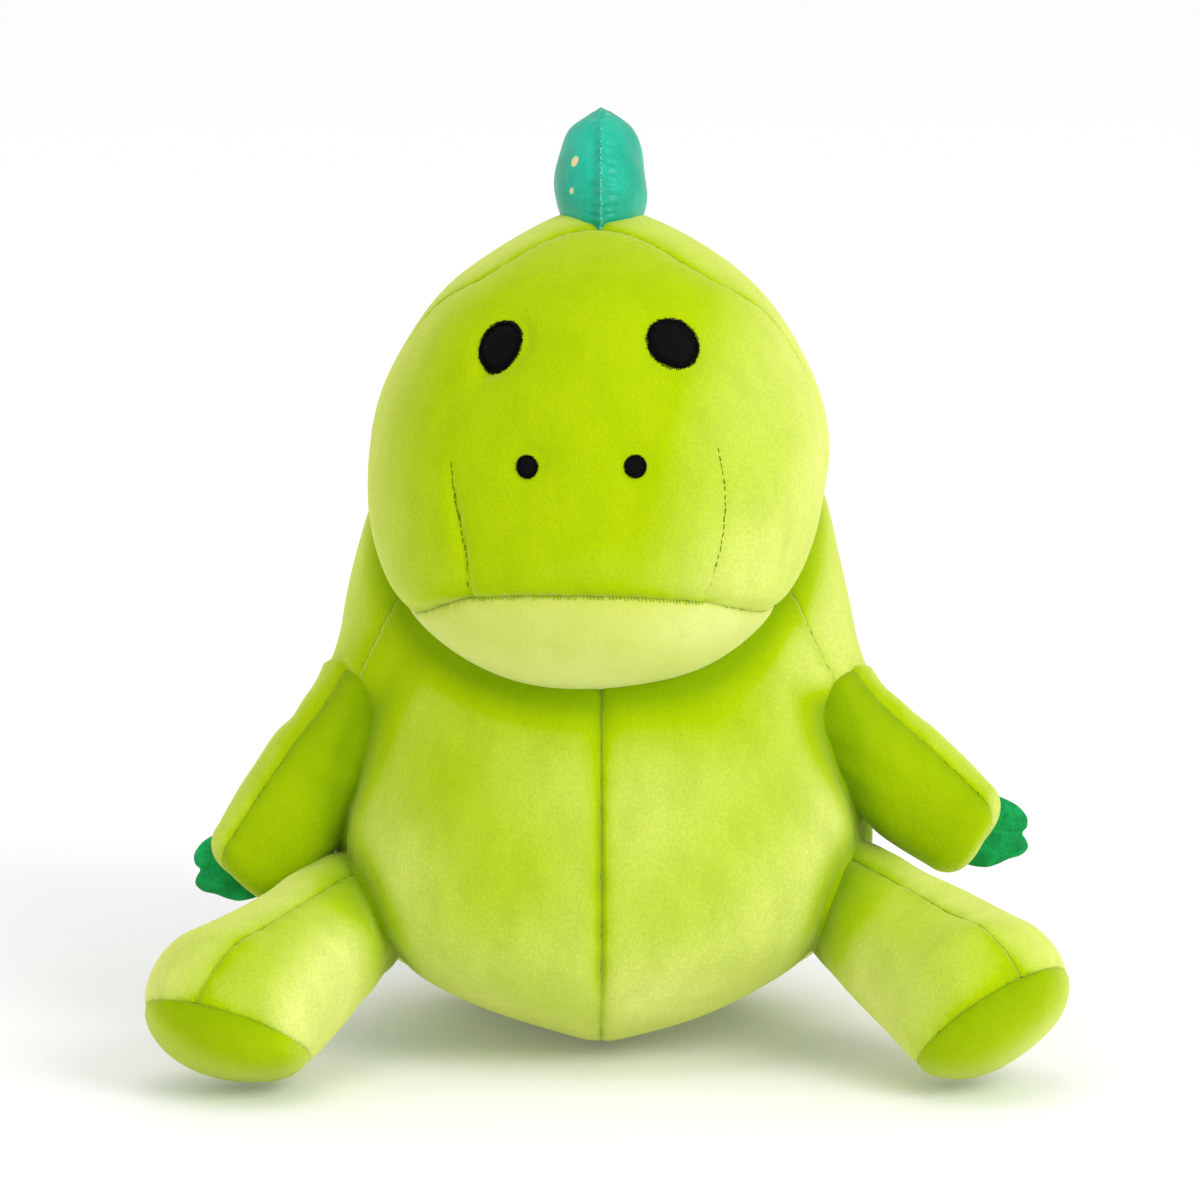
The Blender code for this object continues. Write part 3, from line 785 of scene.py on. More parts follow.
def felt(name):
    nodes = Nodes(
        name, Sheen_Weight=0.10, Sheen_Roughness=0.5, Sheen_Tint=(0.4, 1.0, 0.5, 1),
        Specular_IOR_Level=0.2,
    )
    fuzz = nodes.noise(900, 4.0, (1, 1, 1), 0.65)
    drift = nodes.noise(160, 3.0)
    colour = nodes.mix(nodes.spread(drift, 0.35, 0.65), (0.001, 0.255, 0.060),
                       (0.002, 0.375, 0.095))
    colour = nodes.mix(nodes.spread(fuzz, 0.42, 0.60, 0.0, 0.30), colour, (0.001, 0.14, 0.04))
    return nodes.done(colour, nodes.spread(fuzz, 0.3, 0.7, 0.62, 0.85),
                      nodes.bump(fuzz, 0.00035, 0.8))


def thread(name, colour, light, roughness=0.42):
    """Rayon embroidery thread: fine twisted strands."""
    nodes = Nodes(name, Specular_IOR_Level=0.06)
    strands = nodes.noise(1400, 2.0, (1, 0.3, 1), 0.6)
    mixed = nodes.mix(nodes.spread(strands, 0.40, 0.72), colour, light)
    return nodes.done(mixed, nodes.spread(strands, 0.3, 0.7, roughness, roughness + 0.2),
                      nodes.bump(strands, 0.00025, 0.7))


def fibre(name):
    nodes = Nodes(name, Sheen_Weight=0.3, Sheen_Roughness=0.6, Specular_IOR_Level=0.2)
    tangle = nodes.noise(260, 6.0, (1, 1, 1), 0.7)
    colour = nodes.mix(nodes.spread(tangle, 0.3, 0.7), (0.66, 0.66, 0.63), (0.86, 0.86, 0.84))
    return nodes.done(colour, nodes.spread(tangle, 0.3, 0.7, 0.85, 1.0),
                      nodes.bump(tangle, 0.0012, 0.8))


def pouch_weave(name):
    nodes = Nodes(name, Specular_IOR_Level=0.25)
    across = nodes.add("ShaderNodeTexWave", bands_direction="X")
    down = nodes.add("ShaderNodeTexWave", bands_direction="Y")
    for wave in (across, down):
        wave.inputs["Scale"].default_value = 330
        nodes.link(nodes.place, wave.inputs["Vector"])
    weave = nodes.maths("MULTIPLY", across.outputs["Fac"], down.outputs["Fac"])
    colour = nodes.mix(weave, (0.50, 0.50, 0.46), (0.76, 0.76, 0.71))
    return nodes.done(colour, nodes.spread(weave, 0, 1, 0.8, 0.95), nodes.bump(weave, 0.0003))


def pellet_beads(name):
    nodes = Nodes(name, Specular_IOR_Level=0.5)
    cells = nodes.cells(380)
    # Painted light on each bead's middle and painted shade between the beads.
    colour = nodes.mix(nodes.spread(cells, 0.1, 0.7), (0.85, 0.87, 0.90), (0.42, 0.44, 0.48))
    round_off = nodes.spread(cells, 0.0, 0.8, 1.0, 0.0)
    return nodes.done(colour, nodes.spread(round_off, 0, 1, 0.55, 0.35),
                      nodes.bump(round_off, 0.0012))


# deep is also the colour of the painted shade, and pale also that of the painted sheen
LIME = velour("velour_lime", (0.200, 0.345, 0.0005), (0.420, 0.580, 0.0007), (0.80, 0.86, 0.24), 0.06)
PALE = velour("velour_pale", (0.45, 0.55, 0.045), (0.60, 0.68, 0.130), (0.78, 0.83, 0.32), 0.40)
TEAL = satin("satin_teal")
FELT = felt("felt_green")
BLACK = thread("thread_black", (0.001, 0.001, 0.001), (0.006, 0.006, 0.006), 0.62)
# The seam and dart threads are darker than the cloth: partly their own colour, partly painted shade
# of the creases they lie in.
SEAM_THREAD_AND_SHADE = thread("thread_lime", (0.11, 0.21, 0.001), (0.20, 0.34, 0.003), 0.8)
DART_THREAD_AND_SHADE = thread("thread_dart", (0.09, 0.17, 0.001), (0.17, 0.28, 0.003), 0.8)
TUFT = thread("thread_tuft", (0.33, 0.48, 0.003), (0.48, 0.63, 0.008), 0.9)
SATIN_THREAD = thread("thread_teal", (0.03, 0.42, 0.32), (0.22, 0.68, 0.56), 0.35)
STUFFING = fibre("fibre_white")
POUCH = pouch_weave("pouch_weave")
PELLETS = pellet_beads("pellet_beads")


# ---------------------------------------------------------------- pieces
def dressed(obj, material, replaced=()):
    """Gives a piece its material and hides the CAD nodes that it stands for."""
    obj.data.materials.clear()
    obj.data.materials.append(material)
    if replaced:
        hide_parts(*replaced)
    return obj


def capsules(name, segments, radius, material):
    """Short closed threads with pointed round ends between pairs of points, as one mesh."""
    sides = 6
    rows = ((0.0, 0.35), (0.18, 0.9), (0.5, 1.0), (0.82, 0.9), (1.0, 0.35))
    points, faces = [], []
    for start, end, up in segments:
        along = end - start
        across = along.cross(up)
        if along.length < 1e-6 or across.length < 1e-9:
            continue
        across.normalize()
        lift = across.cross(along).normalized()
        first = len(points)
        for share, girth in rows:
            for side in range(sides):
                turn = 2 * pi * side / sides
                ring = (across * cos(turn) + lift * sin(turn)) * radius * girth
                points.append(start + along * share + ring)
        for row in range(len(rows) - 1):
            for side in range(sides):
                a, b = first + row * sides + side, first + row * sides + (side + 1) % sides
                faces.append((a, b, b + sides, a + sides))
        faces.append(tuple(first + side for side in reversed(range(sides))))
        last = first + (len(rows) - 1) * sides
        faces.append(tuple(last + side for side in range(sides)))
    obj = rounded_object(name, points, faces)
    obj.data.materials.append(material)
    return obj


def stitches_along(chains, tree, rng, pitch=STITCH_PITCH, length=STITCH_LENGTH, sway=0.12):
    """Pairs of points that dash along the chains, on the skin, with small irregularities."""
    segments = []
    for chain in chains:
        steps = np.linalg.norm(np.diff(chain, axis=0), axis=1)
        walked = np.concatenate(([0], np.cumsum(steps)))
        for start in np.arange(0.4 * pitch, walked[-1] - length, pitch):
            ends = []
            for share in (start, start + length * rng.uniform(0.85, 1.1)):
                place = Vector([np.interp(share, walked, chain[:, axis]) for axis in range(3)])
                near, normal, _, _ = tree.find_nearest(place)
                side = Vector(rng.normal(0, 1, 3)) * length * sway * 0.5
                ends.append((near + side - side.dot(normal) * normal, normal))
            (first, normal), (second, _) = ends
            segments.append((first, second, normal))
    return segments


# ---------------------------------------------------------------- head
def head_local(node):
    low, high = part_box(node)
    return head_matrix().inverted() @ ((Vector(low) + Vector(high)) / 2)


def dart_line(height, sign):
    """Distance of a dart from the middle of the face at a height in the head's frame."""
    share = (height - MOUTH[2]) / (DART_TOP[sign] - MOUTH[2])
    bow = eased(0.1, 1.0, share) if sign < 0 else np.sin(0.85 * pi * np.clip(share, 0, 1.1))
    return DART_X[sign] + DART_SPREAD * bow


def head_relief(points):
    """Darts, dimples round the embroidery and the fullness of lips and cheeks."""
    x, y, z = points.T
    ahead = eased(-0.030, -0.045, y)
    relief = np.zeros(len(points))
    for sign in (-1, 1):
        away = np.abs(x) - dart_line(z, sign)
        along = ahead * (x * sign > 0) * eased(MOUTH[2] - 0.004, MOUTH[2], z)
        along *= eased(DART_TOP[sign] + 0.004, DART_TOP[sign] - 0.016, z)
        relief -= DART_DEPTH * along * np.exp(-np.abs(away) / DART_WIDTH)
        relief += 0.0012 * along * hump(away, 0.012, 0.010)
    over = (points - np.array(MOUTH)) @ np.array((0, MOUTH_SLOPE, 1))
    relief += LIP_HEIGHT * ahead * hump(over, 0.008, 0.007)
    relief += CHIN_HEIGHT * ahead * hump(over, -0.012, 0.009)
    for name, radius in (("eye", EYE_RADIUS), ("nostril", NOSTRIL_RADIUS)):
        for side in ("left", "right"):
            reach = distance_to(points, head_local(f"{name}_{side}"))
            relief -= DIMPLE_DEPTH * hump(reach, radius + 0.0006, 0.0030)
            relief -= DIMPLE_SURROUND * hump(reach, radius + 0.002, 0.011)
    left_eye = np.array(head_local("eye_left"))
    under_eye = distance_to(points, left_eye + (-0.0040, 0, -0.0102))
    relief -= EYE_FOLD_DEPTH * hump(under_eye, 0, 0.0042)
    fold = points - left_eye - (-0.006, 0, -0.0145)
    relief -= 0.0007 * ahead * hump(fold[:, 2], 0, 0.0022) * hump(fold[:, 0], 0, 0.0085)
    return relief + 0.0005 * lumps(points, 0.050)


def head_seams():
    behind = ((0, FACE_SEAM_Y, 0), (0, 1, 0))
    ahead = ((0, FACE_SEAM_Y, 0), (0, -1, 0))
    return {
        "face": Seam((0, FACE_SEAM_Y, 0), (0, 1, 0), depth=0.0007, width=0.0022),
        "mouth": Seam(MOUTH, (0, -MOUTH_SLOPE, -1), (ahead,), depth=0.0014, width=0.0017),
        "back": Seam((0, 0, 0), (1, 0, 0), (behind,), depth=0.0009, width=0.0018),
    }


def make_head():
    seams = head_seams()
    skin = Skin(head_form, 22, tuple(seams.values()), cap=0.0016, pattern=head_pattern)
    skin.creased(head_relief(skin.rest))
    skin.points = moved_by(head_matrix(), skin.points)
    tree = tree_of(skin.points, skin.faces)
    # Tones: painted light on the back panels, whose tops face the lamps; the face a little darker.
    panels = (
        ("face_cloth", "face_panel", LIME, (("face", -1), ("mouth", -1)), -0.08),
        ("chin_cloth", "chin_panel", PALE, (("face", -1), ("mouth", 1)), 0.0),
        ("head_back_left_cloth", "head_back_left", LIME, (("face", 1), ("back", -1)), 0.16),
        ("head_back_right_cloth", "head_back_right", LIME, (("face", 1), ("back", 1)), 0.16),
    )
    for name, node, material, sides, tone in panels:
        piece = skin.panel(name, [(seams[seam], sign) for seam, sign in sides], tone)
        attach(dressed(piece, material, (node,)), "head")
    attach(make_stuffing("head", skin, head_matrix()), "head")
    rng = np.random.default_rng(11)
    chains = {name: skin.seam_lines(seam) for name, seam in seams.items()}
    dashes = stitches_along(chains["back"], tree, rng)
    sewn("head_stitches", dashes, THREAD_RADIUS, SEAM_THREAD_AND_SHADE, "head")
    darts = dart_stitches(tree, rng)
    sewn("dart_stitches", darts, DART_THREAD_RADIUS, DART_THREAD_AND_SHADE, "head")
    make_mouth_stitches(chains["mouth"], tree, rng)
    make_embroidery(tree, rng)
    return tree


def dart_stitches(tree, rng):
    chains = []
    for sign in (-1, 1):
        line = []
        for height in np.linspace(MOUTH[2] + 0.001, DART_TOP[sign], 24):
            x = sign * float(dart_line(height, sign))
            start = head_matrix() @ Vector((x, -0.12, height))
            hit = tree.ray_cast(start, head_matrix().to_3x3() @ Vector((0, 1, 0)))
            line.append(np.array(hit[0]))
        chains.append(np.array(line))
    return stitches_along(chains, tree, rng, pitch=0.0024)


def sewn(name, segments, radius, material, body=None):
    """Stitches that lie in the pile, as one piece, which rides on the body if one is given."""
    sunk = [(a - up * SINK, b - up * SINK, up) for a, b, up in segments]
    obj = capsules(name, sunk, radius, material)
    if body:
        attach(obj, body)
    return obj


def make_mouth_stitches(chains, tree, rng):
    """The sewn line of the mouth, with short tufts of pile caught across it."""
    dashes = stitches_along(chains, tree, rng, 0.0026, 0.0023)
    sewn("mouth_stitches", dashes, THREAD_RADIUS, SEAM_THREAD_AND_SHADE, "head")
    tufts = []
    up = Vector((0, 0, 1))
    for chain in chains:
        for point in chain:
            near, normal, _, _ = tree.find_nearest(Vector(point))
            local = head_matrix().inverted() @ near
            if abs(local.x) > DART_X[1] * 0.97 or rng.uniform() < 0.06:
                continue
            reach = rng.uniform(0.0006, 0.0014)
            lean = Vector((rng.normal(0, 0.0002), 0, 0))
            start = near + up * 0.0009 + lean
            end = near - up * reach - lean
            tufts.append((
                tree.find_nearest(start)[0] + normal * 0.0001,
                tree.find_nearest(end)[0] + normal * 0.0003,
                normal,
            ))
    sewn("mouth_tufts", tufts, TUFT_RADIUS, TUFT, "head")


def disc_grid(count):
    """Points of a unit disc as a square grid, and its quads."""
    row = np.linspace(-1, 1, count)
    u, v = (axis.ravel() for axis in np.meshgrid(row, row, indexing="ij"))
    faces = [
        (i * count + j, (i + 1) * count + j, (i + 1) * count + j + 1, i * count + j + 1)
        for i in range(count - 1) for j in range(count - 1)
    ]
    return np.stack((u * np.sqrt(1 - v * v / 2), v * np.sqrt(1 - u * u / 2)), axis=1), faces


def embroidered_disc(count, middle, normal, across, radii, tree):
    """A slightly ragged disc of laid threads that follows the cloth: its points and faces."""
    upward = normal.cross(across)
    disc, faces = disc_grid(count)
    reach = np.linalg.norm(disc, axis=1)
    angle = np.arctan2(disc[:, 1], disc[:, 0])
    ragged = 1 + 0.022 * np.sin(5 * angle + 1.3) + 0.018 * np.sin(11 * angle)
    laid = disc[:, 1] * radii[1] * 2 * pi / LAID_THREAD_PITCH
    threads = np.sin(laid + 0.6 * np.sin(disc[:, 0] * 5))
    height = EMBROIDERY_HEIGHT * np.sqrt(np.maximum(1 - reach ** 8, 0)) + 0.00012 * threads
    height += 0.00018 * hump(reach, 0.90, 0.07)
    points = []
    for (u, v), rough, lift in zip(disc, ragged, height):
        start = middle + across * u * radii[0] * rough + upward * v * radii[1] * rough
        hit = tree.ray_cast(start + normal * 0.02, -normal)
        points.append(hit[0] + normal * (lift - EMBROIDERY_HEIGHT / 2))
    return np.array(points), faces


def make_embroidery(tree, rng):
    """Satin-stitched eyes and nostrils: padded discs of laid thread with a bound edge."""
    spots = (
        ("eye_left", (EYE_RADIUS * 0.90, EYE_RADIUS * 1.05), -10, 66, -0.0012),
        ("eye_right", (EYE_RADIUS * 1.03, EYE_RADIUS * 1.02), 0, 66, 0.0004),
        ("nostril_left", (NOSTRIL_RADIUS, NOSTRIL_RADIUS), 0, 34, -0.0014),
        ("nostril_right", (NOSTRIL_RADIUS, NOSTRIL_RADIUS), 0, 34, -0.0010),
    )
    for name, radii, tilt, count, rise in spots:
        centre = head_matrix() @ head_local(name) + Vector((0, 0, rise))
        middle, normal, _, _ = tree.find_nearest(centre)
        across = Vector((1, 0, 0)) - normal * normal.x
        across = Matrix.Rotation(radians(tilt), 3, normal) @ across.normalized()
        points, faces = embroidered_disc(count, middle, normal, across, radii, tree)
        obj = object_of(f"{name}_embroidery", points, faces)
        obj.data.polygons.foreach_set("use_smooth", [True] * len(faces))
        if obj.data.polygons[0].normal.dot(normal) < 0:
            obj.data.flip_normals()
        shell = obj.modifiers.new("shell", "SOLIDIFY")
        shell.thickness, shell.offset = EMBROIDERY_HEIGHT, -1
        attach(dressed(obj, BLACK, (name,)), "head")
        threads = edge_threads(middle, normal, across, radii, tree, rng)
        sewn(f"{name}_edge", threads, THREAD_RADIUS, BLACK, "head")


def edge_threads(middle, normal, across, radii, tree, rng):
    """Short threads that bind the edge of an embroidered disc."""
    upward = normal.cross(across)
    count = int(2 * pi * max(radii) / EDGE_THREAD_PITCH)
    threads = []
    for number in range(count):
        turn = 2 * pi * number / count
        way = across * cos(turn) * radii[0] + upward * sin(turn) * radii[1]
        low, high = rng.uniform(0.80, 0.88), rng.uniform(1.01, 1.07)
        ends = []
        for share, lift in ((low, 0.0010), (high, 0.0001)):
            hit = tree.ray_cast(middle + way * share + normal * 0.02, -normal)
            ends.append(hit[0] + normal * lift)
        threads.append((*ends, normal))
    return threads


def make_stuffing(name, skin, matrix=None, hollow=None, depth=STUFFING_INSET):
    """The fibre inside a skin: the swollen form, drawn in from the cloth by the depth."""
    inset = skin.base - normals_of(skin.base, skin.base_faces) * depth
    if hollow:
        inset = hollow(inset)
    if matrix:
        inset = moved_by(matrix, inset)
    obj = object_of(f"{name}_stuffing", inset, skin.base_faces)
    obj.data.shade_smooth()
    return dressed(obj, STUFFING, (f"{name}_filling",))


# ---------------------------------------------------------------- torso and limbs
def shown_parts(chains, trees, gap):
    """The parts of the chains that are outside the other forms and above the floor by the gap."""
    shown = []
    for chain in chains:
        clear = chain[:, 2] > gap
        for tree in trees:
            clear &= depth_outside(chain, tree, 0.02) > gap
        if clear.sum() > 3:
            shown += [part for part in np.split(chain, np.flatnonzero(~clear)) if len(part) > 3]
    return shown


def pouch_hollow(points):
    """Room under the torso's stuffing for the pouch of pellets."""
    low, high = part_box("pouch_bottom")
    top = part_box("pouch_top")[1][2] + 0.002
    centre = (np.array(low) + np.array(high)) / 2
    half = (np.array(high) - np.array(low)) / 2 + 0.002
    reach = np.hypot(*((points[:, :2] - centre[:2]) / half[:2]).T)
    raised = top * np.sqrt(np.maximum(1 - (reach / 1.12) ** 2, 0)) ** 0.7
    below = (points[:, 2] < 0.05) & (reach < 1.12)
    points[:, 2] = np.where(below, np.maximum(points[:, 2], raised), points[:, 2])
    return points


class Limb:
    """Root, end and seams of one limb, with the nodes of its panels."""

    def __init__(self, name, joint, reach):
        self.name = name
        self.root = Vector(JOINTS[joint]["pos_m"])
        self.end = self.root + Vector(reach)
        self.along = (self.end - self.root).normalized()
        self.panels = ()
        self.upper = None
        self.shaded = SHADE_REACH

    def taut(self, points):
        """From 0 to 1, how far points lie on the upper side of an arm, where its cloth is taut."""
        if not self.upper:
            return np.zeros(len(points))
        return eased(0.004, 0.013, (points - np.array(self.root)) @ np.array(self.upper))

    def rooted(self, piece):
        """Applies the piece's placing to its points, and gives it back."""
        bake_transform(piece)
        return piece


def arm(side):
    limb = Limb(f"{side}_arm", f"{side}_arm_raise", ARM_REACH[side])
    frame_of = limb_frame(limb.root, limb.end).to_3x3()
    top, front = frame_of @ Vector((1, 0, 0)), frame_of @ Vector((0, 1, 0))
    top = -top if top.z < 0 else top
    front = -front if front.y > 0 else front
    limb.upper = top
    roll = radians(ARM_SEAM_ROLL[side])
    seam = Seam(limb.root, front * cos(roll) - top * sin(roll), depth=0.0009)
    sunk = limb.root + Vector(ARM_ROOT[side]) - limb.along * ARM_SUNK
    limb.form = lambda ball: limb_form(
        ball, sunk, limb.end, ARM_HALF_HEIGHTS[side], ARM_HALF_DEPTHS, ARM_BLUNT
    )
    limb.seams = (seam,)
    # The front panel's tone paints shade on it.
    limb.panels = (("front", ((seam, 1),), -0.74), ("back", ((seam, -1),), 0.0))
    return limb


def leg(side):
    limb = Limb(f"{side}_leg", f"{side}_leg_spread", LEG_REACH[side])
    ahead = Vector((limb.along.x, limb.along.y, 0)).normalized()
    outward = Vector((-ahead.y, ahead.x, 0))
    outward = -outward if outward.x * limb.root.x < 0 else outward
    roll = radians(LEG_SEAM_ROLL[side])
    normal = sole_normal(side, limb.root, limb.end)
    rim = limb.end + normal * (SOLE_DISTANCE - 0.0012)
    sole = Seam(rim, normal, depth=0.0008)
    root = limb.root + Vector(LEG_ROOT[side])
    upward = outward.cross(limb.end - root).normalized()
    upward = -upward if upward.z < 0 else upward
    across = outward * cos(roll) + upward * sin(roll)
    top = Seam(root, across, ((rim, -normal),), depth=0.0010)
    limb.form = lambda ball: leg_form(ball, side, limb.root, limb.end)
    limb.shaded = LEG_SHADE_REACH
    limb.seams = (sole, top)
    # Tones: painted shade on the sole and the inner side, painted light on the outer side.
    limb.panels = (
        ("inner", ((sole, -1), (top, -1)), -0.12),
        ("outer", ((sole, -1), (top, 1)), 0.22),
        ("sole", ((sole, 1),), -0.95),
    )
    return limb


def tail():
    limb = Limb("tail", "tail_wag", TAIL_REACH)
    seam = Seam(limb.root, (1, 0, 0))
    limb.form = lambda ball: tail_form(ball, limb.root, limb.end)
    limb.seams = (seam,)
    limb.panels = (("left", ((seam, -1),), 0.0), ("right", ((seam, 1),), 0.0))
    return limb


def limb_relief(points, limb):
    """Uneven stuffing, with short folds that run round the limb near its root."""
    along = (points - np.array(limb.root)) @ np.array(limb.along)
    folds = lumps(points * np.array((1, 1, 1.6)), 0.017, 5)
    return 0.0006 * lumps(points, 0.035, 7) + 0.0006 * folds * hump(along, 0.018, 0.016)


def make_limb(limb, number, torso_tree):
    skin = Skin(limb.form, 14, limb.seams, cap=0.0016)
    skin.creased(limb_relief(skin.rest, limb))
    taut = limb.taut(skin.points)
    skin.pressed_by(torso_tree, 0.0018, taut=taut, reach=limb.shaded)
    skin.filleted_by(torso_tree, taut)
    above_floor(skin.points)
    tree = tree_of(skin.points, skin.faces)
    for part, sides, tone in limb.panels:
        piece = skin.panel(f"{limb.name}_{part}_cloth", sides, tone)
        dressed(piece, LIME, (f"{limb.name}_{part}",))
        limb.rooted(piece)
    limb.rooted(make_stuffing(limb.name, skin))
    chains = [chain for seam in limb.seams for chain in skin.seam_lines(seam)]
    shown = shown_parts(chains, [torso_tree], 0.002)
    rng = np.random.default_rng(20 + number)
    dashes = stitches_along(shown, tree, rng)
    limb.rooted(sewn(f"{limb.name}_stitches", dashes, THREAD_RADIUS, SEAM_THREAD_AND_SHADE))
    return tree


def torso_relief(points):
    x, y, z = points.T
    belly = hump(z, 0.055, 0.040) * eased(0.0, -0.05, y)
    return 0.0007 * lumps(points, 0.055, 2) + 0.0010 * belly * hump(np.abs(x), 0.035, 0.030)


def make_torso(head_tree, limbs):
    side = Seam((0, SIDE_SEAM_Y, 0), (0, 1, 0), depth=0.0006)
    middle = Seam((0, 0, 0), (1, 0, 0), depth=0.0014, width=0.0020)
    skin = Skin(torso_form, 24, (side, middle), cap=0.0018)
    skin.creased(torso_relief(skin.rest))
    skin.pressed_by(head_tree, 0.0016, 0.0060)
    limb_forms = [form_tree(limb) for limb in limbs]
    for limb, tree in zip(limbs, limb_forms):
        taut = limb.taut(skin.points)
        skin.pressed_by(tree, 0.0016, taut=taut)
        skin.filleted_by(tree, taut)
    above_floor(skin.points, 0)
    tree = tree_of(skin.points, skin.faces)
    for name, sides in (
        ("belly_left", ((side, -1), (middle, -1))),
        ("belly_right", ((side, -1), (middle, 1))),
        ("back_left", ((side, 1), (middle, -1))),
        ("back_right", ((side, 1), (middle, 1))),
    ):
        piece = dressed(skin.panel(f"{name}_cloth", sides, -0.12), LIME, (name,))
        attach(piece, "torso")
    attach(make_stuffing("torso", skin, hollow=pouch_hollow), "torso")
    rng = np.random.default_rng(5)
    chains = skin.seam_lines(side) + skin.seam_lines(middle)
    shown = shown_parts(chains, [head_tree, *limb_forms], 0.0015)
    dashes = stitches_along(shown, tree, rng)
    sewn("torso_stitches", dashes, THREAD_RADIUS, SEAM_THREAD_AND_SHADE, "torso")
    return tree


# ---------------------------------------------------------------- spikes and claws
def make_spike(number, owner, foot, lean, height, length):
    name = f"spike_{number}"
    seam = Seam((0, 0, 0), (1, 0, 0), depth=-0.0004, width=0.0010)
    skin = Skin(lambda ball: spike_form(ball, height, length), 11, (seam,), cap=0.0008)
    away = np.abs(skin.rest[:, 0])
    turn = np.arctan2(skin.rest[:, 2] - height * 0.3, skin.rest[:, 1])
    walk = turn * height * 0.62
    pucker = np.sin(walk * 2 * pi / 0.0040) * np.exp(-((away / 0.0050) ** 2))
    body = eased(height * 0.97, height * 0.80, skin.rest[:, 2])
    relief = 0.00045 * pucker - 0.0010 * hump(away, 0.0026, 0.0018) * body
    relief += 0.0005 * lumps(skin.rest, 0.016, number) - 0.0004 * (1 - body)
    skin.creased(relief)
    place = Matrix.Translation((0, foot[0], foot[1])) @ Matrix.Rotation(-radians(lean), 4, "X")
    skin.points = moved_by(place, skin.points)
    for side, sign in (("left", -1), ("right", 1)):
        piece = skin.panel(f"{name}_{side}_satin", ((seam, sign),))
        piece.modifiers["shell"].thickness = SATIN
        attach(dressed(piece, TEAL, (f"{name}_{side}",)), owner)
    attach(make_stuffing(name, skin, place, depth=SPIKE_STUFFING_INSET), owner)
    rng = np.random.default_rng(40 + number)
    tree = tree_of(skin.points, skin.faces)
    dashes = stitches_along(skin.seam_lines(seam), tree, rng, 0.0021, 0.0017, 0.05)
    sewn(f"{name}_stitches", dashes, SATIN_THREAD_RADIUS, SATIN_THREAD, owner)


CLAW_OUTLINE = (
    (-0.006, 0.0112), (-0.001, 0.0118), (0.004, 0.0108), (0.0085, 0.0092), (0.0118, 0.0062),
    (0.0124, 0.0030), (0.0112, 0.0006), (0.0128, -0.0014), (0.0137, -0.0038),
    (0.0118, -0.0066), (0.0080, -0.0086), (0.0045, -0.0110), (0.0005, -0.0126),
    (-0.006, -0.0120), (-0.009, -0.0060), (-0.009, 0.0060),
)
CLAW_THICKNESS = 0.0036
CLAW_MIDDLE = np.array((0.001, 0.0))
CLAW_BASE = {"left": 0.0080, "right": 0.0092}    # from the hand's centre to the claw's base


def smooth_loop(outline, count):
    """Closed Catmull-Rom curve through the outline."""
    rows = np.array(outline)
    span = np.arange(count) * len(rows) / count
    index, t = span.astype(int), (span % 1)[:, None]
    return catmull(*(rows[(index + step) % len(rows)] for step in (-1, 0, 1, 2)), t)


def claw_points(middle, out, up, loop, rows):
    """Rings of both faces of a claw from its middle out, the shared rim once, then the poles."""
    through = out.cross(up)
    points = []
    for sign in (1, -1):
        for share in rows[1:] if sign > 0 else rows[1:-1]:
            flat = CLAW_MIDDLE + (loop - CLAW_MIDDLE) * share
            thick = np.sqrt(max(1 - share ** 5, 0)) * CLAW_THICKNESS / 2
            furrow = 1 - 0.45 * hump(flat[:, 1], 0.0006, 0.0011) * eased(0, 0.012, flat[:, 0])
            points += [
                middle + out * u + up * w + through * sign * thick * deep
                for (u, w), deep in zip(flat, furrow)
            ]
    pole = middle + out * CLAW_MIDDLE[0]
    return points + [pole + through * sign * CLAW_THICKNESS / 2 for sign in (1, -1)]


def claw_faces(count, depth):
    """Triangles at the poles, and quads between the rings of each face."""
    def at(sign, row, step):
        if sign < 0 and row == depth - 1:
            sign = 1
        first = 0 if sign > 0 else depth * count
        return first + row * count + step % count

    faces = []
    rings = (2 * depth - 1) * count
    for sign, pole in ((1, rings), (-1, rings + 1)):
        for step in range(count):
            faces.append((pole, at(sign, 0, step), at(sign, 0, step + 1)))
            for row in range(depth - 1):
                faces.append((at(sign, row, step), at(sign, row + 1, step),
                              at(sign, row + 1, step + 1), at(sign, row, step + 1)))
    return faces


def make_claw(side, limb):
    """Two rounded felt lobes on one puffed shape, sunk into the end of the hand."""
    along = limb.along
    out = Vector((along.x, along.y * 0.5, along.z * 0.17)).normalized()
    up = (Vector((0, 0, 1)) - out * out.z).normalized()
    loop = smooth_loop(CLAW_OUTLINE, 96)
    rows = np.sin(np.linspace(0, 1, 15) * pi / 2)
    points = claw_points(limb.end + out * CLAW_BASE[side], out, up, loop, rows)
    faces = claw_faces(len(loop), len(rows) - 1)
    obj = rounded_object(f"{side}_claws_felt", points, faces)
    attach(dressed(obj, FELT, (f"{side}_claws",)), f"{side}_arm")


# ---------------------------------------------------------------- studio
FLOOR_REACH = 9.0
LIT_PLACE = Vector((0, 0, 0.12))


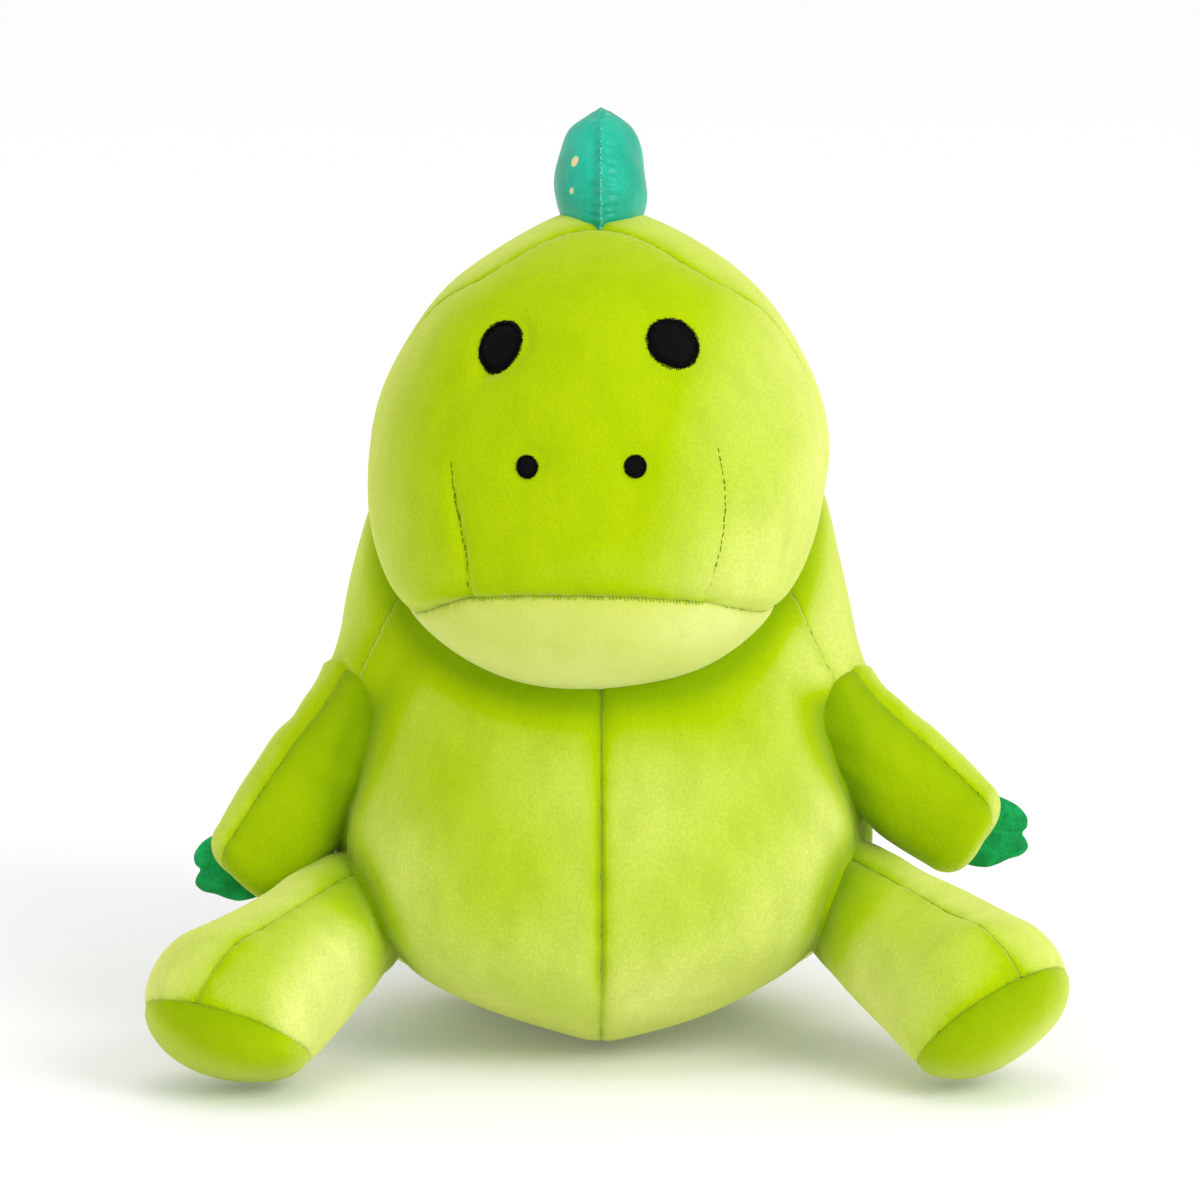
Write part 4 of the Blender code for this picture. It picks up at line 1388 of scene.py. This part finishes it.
def plain_floor():
    corners = np.array(((-1, -1, 0), (1, -1, 0), (1, 1, 0), (-1, 1, 0))) * FLOOR_REACH
    floor = object_of("floor", corners, [(0, 1, 2, 3)])
    nodes = Nodes("floor_paper", Roughness=0.9, Specular_IOR_Level=0.1)
    # The floor glows, a painted light that keeps it white far from the lamps and also lights the toy
    # from below.
    nodes.shader.inputs["Emission Color"].default_value = (1, 1, 1, 1)
    middle = nodes.add("ShaderNodeTexGradient", gradient_type="SPHERICAL")
    nodes.link(nodes.place, middle.inputs["Vector"])
    # Near the toy the floor is painted a faint lavender against the green light that the toy throws
    # on it.
    near = nodes.spread(middle.outputs["Fac"], 0.76, 0.97)
    nodes.link(nodes.mix(near, (0.90, 0.90, 0.905), (0.885, 0.865, 0.925)),
               nodes.shader.inputs["Base Color"])
    # The glow is weaker near the toy, so its shadow stays dark.
    glow = nodes.spread(middle.outputs["Fac"], 0.35, 0.90, 0.24, 0.09)
    nodes.link(glow, nodes.shader.inputs["Emission Strength"])
    floor.data.materials.append(nodes.material)


def area_light(name, place, size, power):
    """A round soft light that faces the toy."""
    data = bpy.data.lights.new(name, "AREA")
    data.shape, data.size, data.energy = "DISK", size, power
    light = linked(name, data)
    light.location = place
    light.rotation_euler = (LIT_PLACE - Vector(place)).to_track_quat("-Z", "Y").to_euler()


def studio():
    plain_floor()
    world = bpy.data.worlds.new("studio")
    world.use_nodes = True
    tree = world.node_tree
    path = tree.nodes.new("ShaderNodeLightPath")
    strength = tree.nodes.new("ShaderNodeMapRange")
    strength.inputs["To Min"].default_value = 0.80
    strength.inputs["To Max"].default_value = 1.0
    tree.links.new(path.outputs["Is Camera Ray"], strength.inputs["Value"])
    tree.links.new(strength.outputs["Result"], tree.nodes["Background"].inputs["Strength"])
    tree.nodes["Background"].inputs["Color"].default_value = (1, 1, 1, 1)
    SCENE.world = world
    area_light("key", (1.15, -1.35, 1.15), 1.1, 17)
    area_light("top", (-0.1, -0.5, 2.0), 1.2, 5)
    SCENE.view_settings.view_transform = "Standard"
    SCENE.view_settings.look = "None"


CAMERA_ELEVATION = radians(10)
CAMERA_DISTANCE = 2.4
VIEW_WIDTH = 0.390         # of the picture at the toy
VIEW_CENTRE = Vector((-0.0003, 0, 0.1414))


def camera():
    data = bpy.data.cameras.new("camera")
    data.lens = data.sensor_width * CAMERA_DISTANCE / VIEW_WIDTH
    obj = linked("camera", data)
    back = Vector((0, -cos(CAMERA_ELEVATION), sin(CAMERA_ELEVATION)))
    obj.location = VIEW_CENTRE + back * CAMERA_DISTANCE
    obj.rotation_euler = (-back).to_track_quat("-Z", "Y").to_euler()
    SCENE.camera = obj


# ---------------------------------------------------------------- the toy
def form_tree(limb):
    ball, faces = quad_ball(20)
    return tree_of(limb.form(ball), faces)


camera()
studio()
HEAD_TREE = make_head()
LIMBS = [arm("left"), arm("right"), leg("left"), leg("right"), tail()]
TORSO_TREE = make_torso(HEAD_TREE, LIMBS)
for number, limb in enumerate(LIMBS):
    make_limb(limb, number, TORSO_TREE)
make_claw("left", LIMBS[0])
make_claw("right", LIMBS[1])
for number, spike in enumerate(SPIKES, 1):
    make_spike(number, *spike)
for node, material in (("pouch_top", POUCH), ("pouch_bottom", POUCH), ("pellets", PELLETS)):
    cad_node = bpy.data.objects[node]
    cad_node.data.materials.clear()
    cad_node.data.materials.append(material)
